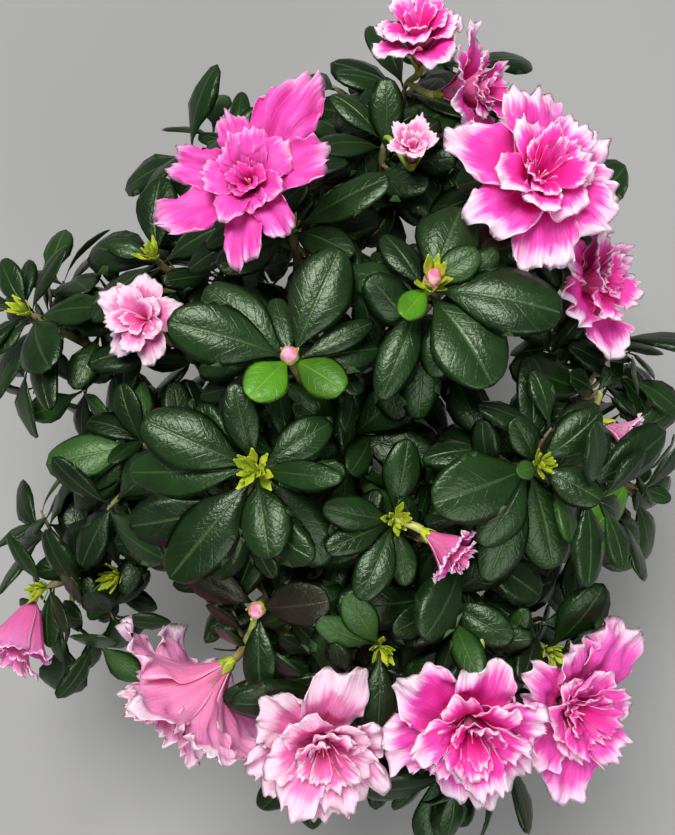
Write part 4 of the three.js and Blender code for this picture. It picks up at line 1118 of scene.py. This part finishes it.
def set_leaf(shoot, order, bearing, length, width, finish, own):
    """A leaf is set below the tip by its order, at its bearing and lift, or a little turned where it would
    cut through something. It stays inside the reach of its mass, or else it is left out. "own" says how it
    differs from the others."""
    below = LEAF["below"] + order * LEAF["spacing"] * shoot["scale"]
    at = shoot["path"].at_share(max(LEAF["foot"], 1 - below / shoot["path"].length))
    x, y, z = shoot["frame"]
    lift = max(LEAF["rise"] - LEAF["fall"] * order, LEAF["lowest"])
    for turned_by, tipped in LEAF["tries"]:
        angle = math.radians(bearing + turned_by)
        leaf = {"at": at, "out": x * math.cos(angle) + y * math.sin(angle), "up": z, "length": length,
                "width": width, "lift": math.radians(lift + tipped), "finish": LEAF_FINISHES.index(finish),
                **own}
        tree, points = rough(leaf)
        inside = (points > shoot["low"]).all() and (points < shoot["high"]).all()
        if inside and not crowd.meets(tree, points, shoot["owner"]):
            crowd.add(tree, points, None)
            shoot["leaves"].append(leaf)
            return


def rough_tube(path, radius, rings=5, around=3):
    """The rough shape of a twig, stem or shaft: a plain tube round its path."""
    points, groups = tube(path, taper(radius, radius), rings, around)
    faces = [tuple(face) for group in groups for face in group[0].tolist()]
    return BVHTree.FromPolygons(points.tolist(), faces), points


def keep_clear(start, radius):
    """A shaft that rises from a bud or bloom, which no leaf may cross."""
    crowd.add(*rough_tube(straight(start, start + UP * CLEAR["height"]), radius, 3, 8), "shaft")


def grow_limbs():
    """The lines of the trunk, boughs and branches, each with its thickness at foot and tip."""
    foot = np.array([*TRUNK["root"], GROUND])
    top = np.array([*TRUNK["top"], GROUND + TRUNK["height"]])
    limbs = {"trunk": (sweep(foot, UP, top, UP), TRUNK["waist"], TRUNK["tip"])}
    for name, (parent, to) in LIMBS.items():
        carrier = limbs[parent][0]
        size = BOUGH if parent == "trunk" else BRANCH
        start, end = carrier.point(size["start"]), np.array(to, float)
        way = unit(end - start)
        if parent == "trunk":
            leave = unit(way * np.array([1, 1, size["level"]]))
        else:
            leave = unit(way + (carrier.tangent(1) - way) * size["follow"])
        path = sweep(start, leave, end, unit(way + UP * size["upturn"]))
        limbs[name] = (path, size["foot"], size["tip"])
    return limbs


def new_shoot(path, axis, size, scale, random, owner, box, **more):
    """A shoot: its path, the directions that its leaves stand in, its thickness and its own numbers."""
    return {"path": path, "frame": frame_on(axis), "axis": axis, "size": size, "scale": scale,
            "random": random, "owner": owner, "low": box[0], "high": box[1], "leaves": [], **more}


def set_shoots(name, place_in_list, limbs):
    """The main shoots and side twigs of one mass, from its own streams of numbers."""
    on, side, mains = MASSES[name]
    carrier = limbs[on][0]
    box = [np.array(corner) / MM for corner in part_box(name)]
    box = (box[0] - FINE["spill"], box[1] + FINE["spill"])
    shoots = []
    for k, (seen, height, bud, more, leaves) in enumerate(mains):
        random = dice(SEED + SEEDS_A_MASS * place_in_list + k)
        parent, size = (carrier, STEM) if k == 0 else (shoots[0]["path"], FORK)
        start, end = parent.point(size["start"]), spot(seen, height)
        axis = unit(unit(end - CROWN_HEART) + UP * STEM["upturn"])
        way = unit(end - start)
        onward = parent.tangent(1 if k == 0 else size["start"])
        path = sweep(start, unit(way + (onward - way) * STEM["follow"]), end, axis)
        shoots.append(new_shoot(path, axis, size, 1.0, random, (name, k), box, read=leaves, more=more,
                                bud=bud, kind="main"))
    outward = unit(shoots[0]["path"].point(1) - CROWN_HEART)
    for k in range(side):
        random = dice(SEED + SEEDS_A_MASS * place_in_list + len(mains) + k)
        along = SIDE["stretch"] * (k + next(random) * SIDE["jitter"]) / side
        start = shoots[0]["path"].point(SIDE["from"] + along)
        spread = math.radians(about(SIDE["fan"] * ((k + 0.5) / side - 0.5), SIDE["sway"], random))
        rise = math.radians(SIDE["rise"] + SIDE["sweep"] * next(random) + SIDE["inner"] * outward[2])
        way = heading(math.atan2(outward[1], outward[0]) + spread, rise)
        path = straight(start, start + way * within(SIDE["reach"], random))
        shoots.append(new_shoot(path, unit(way + UP * TWIG["upturn"]), TWIG, SIDE["scale"], random,
                                (name, len(mains) + k), box, read=(), more=SIDE["leaves"], bud=None,
                                kind="side"))
    return shoots


def set_fine_twig(shoot, number, fork, bearing, rise, reach):
    """One finer twig from its fork at its bearing, or a little turned, where it stays in its mass and cuts
    through nothing, or else none."""
    start = shoot["path"].point(fork)
    x, y, z = shoot["frame"]
    for turned_by in FINE["tries"]:
        angle = bearing + math.radians(turned_by)
        way = math.cos(rise) * (x * math.cos(angle) + y * math.sin(angle)) + math.sin(rise) * z
        end = start + way * reach
        path = sweep(start, unit(way + FINE["along"] * shoot["path"].tangent(0.5)), end,
                     unit(way + UP * FINE["upturn"]))
        tree, points = rough_tube(path, ROUGH_TWIG)
        inside = (end > shoot["low"]).all() and (end < shoot["high"]).all()
        if inside and not crowd.meets(tree, points, shoot["owner"]):
            owner = (*shoot["owner"], number)
            crowd.add(tree, points, owner)
            return new_shoot(path, unit(way + UP * TWIG["upturn"]), FINE, FINE["scale"], shoot["random"],
                             owner, (shoot["low"], shoot["high"]), kind="fine", fork=fork)
    return None


def set_fine_twigs(name, shoots):
    """The finer twigs, on both kinds of shoot: one turn apart, rising by a random slope."""
    finer = []
    for shoot in shoots:
        count = SPARSE.get(name, FINE["main"]) if shoot["kind"] == "main" else FINE["side"]
        random = shoot["random"]
        bearing = ROUND * next(random)
        for k in range(count):
            fork = FINE["from"] + FINE["stretch"] * (k + next(random)) / count
            bearing += math.radians(LEAF["turn"])
            rise = math.radians(within(FINE["rise"], random))
            reach = within(FINE["reach"], random)
            twig = set_fine_twig(shoot, k, fork, bearing, rise, reach)
            if twig:
                finer.append(twig)
    return finer


def grow_leaves(shoots):
    """The leaves of main shoots and side twigs: those that were read first, then those that the rule adds."""
    for shoot in shoots:
        for order, (bearing, length, width, *special) in enumerate(shoot["read"]):
            kind = special[0] if special else "deep"
            own = {**draw(LEAF_DRAWS, shoot["random"]), "large": 1}
            set_leaf(shoot, order * LEAF["crowd"], bearing, length, width, kind, own)
    for shoot in shoots:
        random = shoot["random"]
        first = next(random) * 360
        for k in range(shoot["more"]):
            length = LEAF["length"] * shoot["scale"] * about(1, LEAF["vary"], random)
            width = LEAF["width"] * about(1, LEAF["vary"], random)
            own = {**draw(LEAF_DRAWS, random), "large": 0}
            order = len(shoot["read"]) * LEAF["crowd"] + k
            kind = "dusk" if next(random) < LEAF["dusk"] else "deep"
            set_leaf(shoot, order, first + k * LEAF["turn"], length, width, kind, own)


def grow_fine_leaves(shoots):
    """The leaves of the finer twigs: small ones all round, the uppermost sometimes a fresher green."""
    for shoot in shoots:
        random = shoot["random"]
        first = next(random) * 360
        fresh = next(random) < FINE["fresh"]
        for k in range(FINE["leaves"]):
            length = FINE["length"] * about(1, FINE["vary"], random)
            width = LEAF["width"] * about(FINE["slim"], FINE["slim_vary"], random)
            if fresh and k < FINE["fresh_leaves"]:
                kind = "mid"
            else:
                kind = "dusk" if next(random) < FINE["dusk"] else "deep"
            own = {**draw(LEAF_DRAWS, random), "large": 0}
            set_leaf(shoot, k, first + k * LEAF["turn"], length, width, kind, own)


limbs = grow_limbs()
masses = {name: set_shoots(name, k, limbs) for k, name in enumerate(MASSES)}

blooms = {name: grow_bloom(number, name, masses) for number, name in enumerate(BLOOMS)}

# The blooms, limbs and pot as they stand are what leaves have to stay clear of
for name, bloom in blooms.items():
    for points, groups in bloom["rings"].values():
        tree = BVHTree.FromPolygons(points.tolist(), groups[0][0].tolist())
        crowd.add(tree, points, name)
    keep_clear(bloom["rings"]["middle"][0].mean(0), CLEAR["bloom"] * bloom["mean"])
    keep_clear(bloom["calyx"][0].mean(0), CLEAR["calyx"])
for shoots in masses.values():
    for shoot in shoots:
        if shoot["bud"]:
            keep_clear(shoot["path"].point(1) + UP * CLEAR["above_bud"], CLEAR["bud"])
for name in [*LIMBS, "trunk", "pot"]:
    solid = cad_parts[name].data
    points = np.zeros(len(solid.vertices) * 3, np.float32)
    solid.vertices.foreach_get("co", points)
    points = points.reshape(-1, 3) / MM
    tree = BVHTree.FromPolygons(points.tolist(), [tuple(face.vertices) for face in solid.polygons])
    crowd.add(tree, points, name)
for shoots in masses.values():
    for shoot in shoots:
        crowd.add(*rough_tube(shoot["path"], ROUGH_TWIG), shoot["owner"])

for shoots in masses.values():
    grow_leaves(shoots)
fine = {name: set_fine_twigs(name, shoots) for name, shoots in masses.items()}
for shoots in fine.values():
    grow_fine_leaves(shoots)


# Leaves

for name in MASSES:
    leaves = [leaf for shoot in masses[name] + fine[name] for leaf in shoot["leaves"]]
    parts = []
    for large, rows, cols in ((1, LARGE_ROWS, LARGE_COLS), (0, PLAIN_ROWS, PLAIN_COLS)):
        chosen = [leaf for leaf in leaves if leaf["large"] == large]
        if chosen:
            parts.append(blades(chosen, rows, cols))
    place("leaves_" + name.removeprefix("foliage_"), parts, leaf_materials, [name])


# Twigs and bark

def knots(grid, t, turn):
    """Leaf scars and swellings: low ripples over a few millimetres, sharper ones over half of that."""
    return 0.12 * ripples(grid, 5.0, 3) + 0.05 * ripples(grid, 2.0, 4)


def used_stretch(shoot, finer):
    """How far a twig is made: to its tip where it bears leaves, or else to its last finer twig that does."""
    if shoot["leaves"] or shoot["kind"] == "main":
        return 1.0
    forks = [twig["fork"] for twig in finer if twig["owner"][:2] == shoot["owner"] and twig["leaves"]]
    return max(forks, default=0.0)


twigs = []
for name in MASSES:
    for shoot in masses[name] + fine[name]:
        used = used_stretch(shoot, fine[name])
        if used > 0:
            size, path = shoot["size"], shoot["path"]
            path = path if used == 1 else straight(path.point(0), path.point(used))
            rings = max(WOOD["twig_rings"], int(path.length / WOOD["twig_ring"]))
            sides = WOOD["stem_sides"] if shoot["kind"] == "main" else WOOD["twig_sides"]
            twigs.append(tube(path, pointed(size["foot"], size["tip"]), rings, sides, relief=knots))
place("twigs", twigs, [twig_finish()])


def bark_relief(grid, t, turn):
    """Ridges that run along the limb, wandering a little, over slow swellings."""
    return 0.22 * ripples(grid * np.array([1.0, 1.0, 0.25]), 2.6, 7) + 0.3 * ripples(grid, 11.0, 8)


def trunk_radius(t, turn):
    """The waist, tapering, with a flare at the foot that falls with the fifth power and has four lobes."""
    flare = TRUNK["foot"] / TRUNK["waist"] - 1
    lobes = 1 + flare * (1 - t) ** 5 * (1 + 0.35 * np.cos(turn * 4 + 1))
    return (TRUNK["waist"] + (TRUNK["tip"] - TRUNK["waist"]) * t) * lobes


wood = []
for name, (path, foot, tip) in limbs.items():
    if name == "trunk":
        wood.append(tube(path, trunk_radius, *WOOD["trunk"], relief=bark_relief))
    else:
        rings = max(WOOD["limb_rings"], int(path.length / WOOD["limb_ring"]))
        wood.append(tube(path, taper(foot, tip), rings, WOOD["limb_sides"], relief=bark_relief))
place("bark", wood, [bark_finish()], list(limbs))


# Blossom

for name, bloom in blooms.items():
    place(name.replace("bloom", "blossom"), bloom["parts"], blossom_materials[bloom["tone"]], [name])


# Buds

young = []
for place_in_list, name in enumerate(MASSES):
    for shoot in masses[name]:
        if shoot["bud"]:
            length, count, petals = BUDS[shoot["bud"]]
            random = dice(BUD_SEED + place_in_list)
            tip, axes = shoot["path"].point(1), shoot["frame"]
            bracts = scales(tip, axes, count, length, BUD["width"], BUD["lift"], random, BUD["spread"])
            young.append(seat(blades(bracts, PLAIN_ROWS, PLAIN_COLS), BUD_FINISHES.index("scale")))
            if petals:
                foot = tip - axes[2] * BUD["petals_below"]
                young.append(egg(foot, axes, petals, BUD["petals"], BUD_FINISHES.index("petal")))
                foot = tip - axes[2] * BUD["sheath_below"]
                young.append(egg(foot, axes, petals * BUD["sheath_length"], BUD["sheath"],
                                 BUD_FINISHES.index("scale")))
place("young_shoots", young, [scale_material, bud_material])


# Pot and peat

POT_PROFILE = (
    (0, 0), (20, 0), (40, 0), (45, 0), (45.8, 0.3), (46.15, 1.2), (46.6, 4), (48.6, 16), (51, 31), (54.2, 51),
    (57.4, 71), (60.6, 91), (62.3, 102), (62.7, 103.6), (63.4, 104.1), (64.5, 104.4), (64.95, 105.2),
    (65.1, 107), (65.25, 112), (65.4, 116.4), (65.1, 117.4), (64.4, 118), (63.6, 118), (63.1, 117.6),
    (62.8, 116.6), (62.2, 108), (61.2, 101), (60.9, 99), (58.8, 86), (54, 58), (49, 29), (44.6, 4.2),
    (43.6, 3.2), (42, 3), (20, 3), (0, 3))
place("pot_wall", [turned(POT_PROFILE, 128)], [pot_finish()], ["pot"])

# The peat's underside and wall, then its top in fine rings, which falls a little towards the wall
top_radii = np.linspace(58.6, 2.0, 46)
PEAT_PROFILE = [(0, 3.3), (30, 3.3), (43.0, 3.3), (43.6, 4.4), (50, 46), (55, 76), (59.2, 101), (59.7, 104)]
PEAT_PROFILE += [(radius, 108 - 3 * max(0.0, (radius - 30) / 29.8)) for radius in top_radii] + [(0, 108)]


def crumble(grid):
    """Peat crumbs on the top: lumps over a few millimetres, sharper grains on them, none at the wall."""
    free = np.clip((grid[..., 2] - 104.2) / 1.2, 0, 1)
    lumps = 0.55 * ripples(grid, 7.0, 31) + 0.4 * np.abs(ripples(grid, 2.8, 32))
    lumps = lumps + 0.25 * ripples(grid, 1.5, 33)
    return np.stack([0 * free, 0 * free, free * (lumps - 0.5)], -1)


place("peat", [turned(PEAT_PROFILE, 160, crumble)], [peat_finish()], ["soil"])


# Floor, light and camera

def floor():
    """A plain pale floor."""
    finish = Finish("floor", 0.75, 0.3)
    cloud = finish.noise(finish.object_place(), 3.0, 4.0)
    finish.colour(finish.blend(cloud, (0.27, 0.268, 0.262), (0.32, 0.318, 0.312)))
    mesh = bpy.data.meshes.new("floor")
    corners = [(FLOOR_HALF * x, FLOOR_HALF * y, 0) for x, y in ((-1, -1), (1, -1), (1, 1), (-1, 1))]
    mesh.from_pydata(corners, [], [(0, 1, 2, 3)])
    mesh.materials.append(finish.material)
    plane = bpy.data.objects.new("floor", mesh)
    bpy.context.collection.objects.link(plane)


def soft_light(name, place_at, size, power, colour):
    """A square area light that looks at the crown."""
    lamp = bpy.data.lights.new(name, "AREA")
    lamp.size, lamp.energy, lamp.color = size, power, colour
    light = bpy.data.objects.new(name, lamp)
    light.location = place_at
    light.rotation_euler = (Vector(CROWN_MIDDLE) - Vector(place_at)).to_track_quat("-Z", "Y").to_euler()
    bpy.context.collection.objects.link(light)


def camera():
    """The camera stands where the photograph was taken from, and looks ahead at the view's tilt."""
    tilt = math.radians(VIEW["tilt"])
    ahead = Vector((0, math.cos(tilt), -math.sin(tilt)))
    eye = bpy.data.objects.new("camera", bpy.data.cameras.new("camera"))
    eye.location = Vector(VIEW["middle"]) * MM - ahead * VIEW["distance"] * MM
    eye.rotation_euler = ahead.to_track_quat("-Z", "Y").to_euler()
    eye.data.lens = VIEW["focal"] * eye.data.sensor_width / VIEW["height"]
    eye.data.clip_start = 0.01
    bpy.context.collection.objects.link(eye)
    bpy.context.scene.camera = eye


def sky():
    """An even, faintly blue light from all round."""
    world = bpy.data.worlds.new("sky")
    world.use_nodes = True
    colour, strength = world.node_tree.nodes["Background"].inputs[:2]
    colour.default_value = SKY["colour"]
    strength.default_value = SKY["strength"]
    bpy.context.scene.world = world


floor()
for name, light in LIGHTS.items():
    soft_light(name, *light)
camera()
sky()
bpy.context.scene.view_settings.view_transform = "Standard"
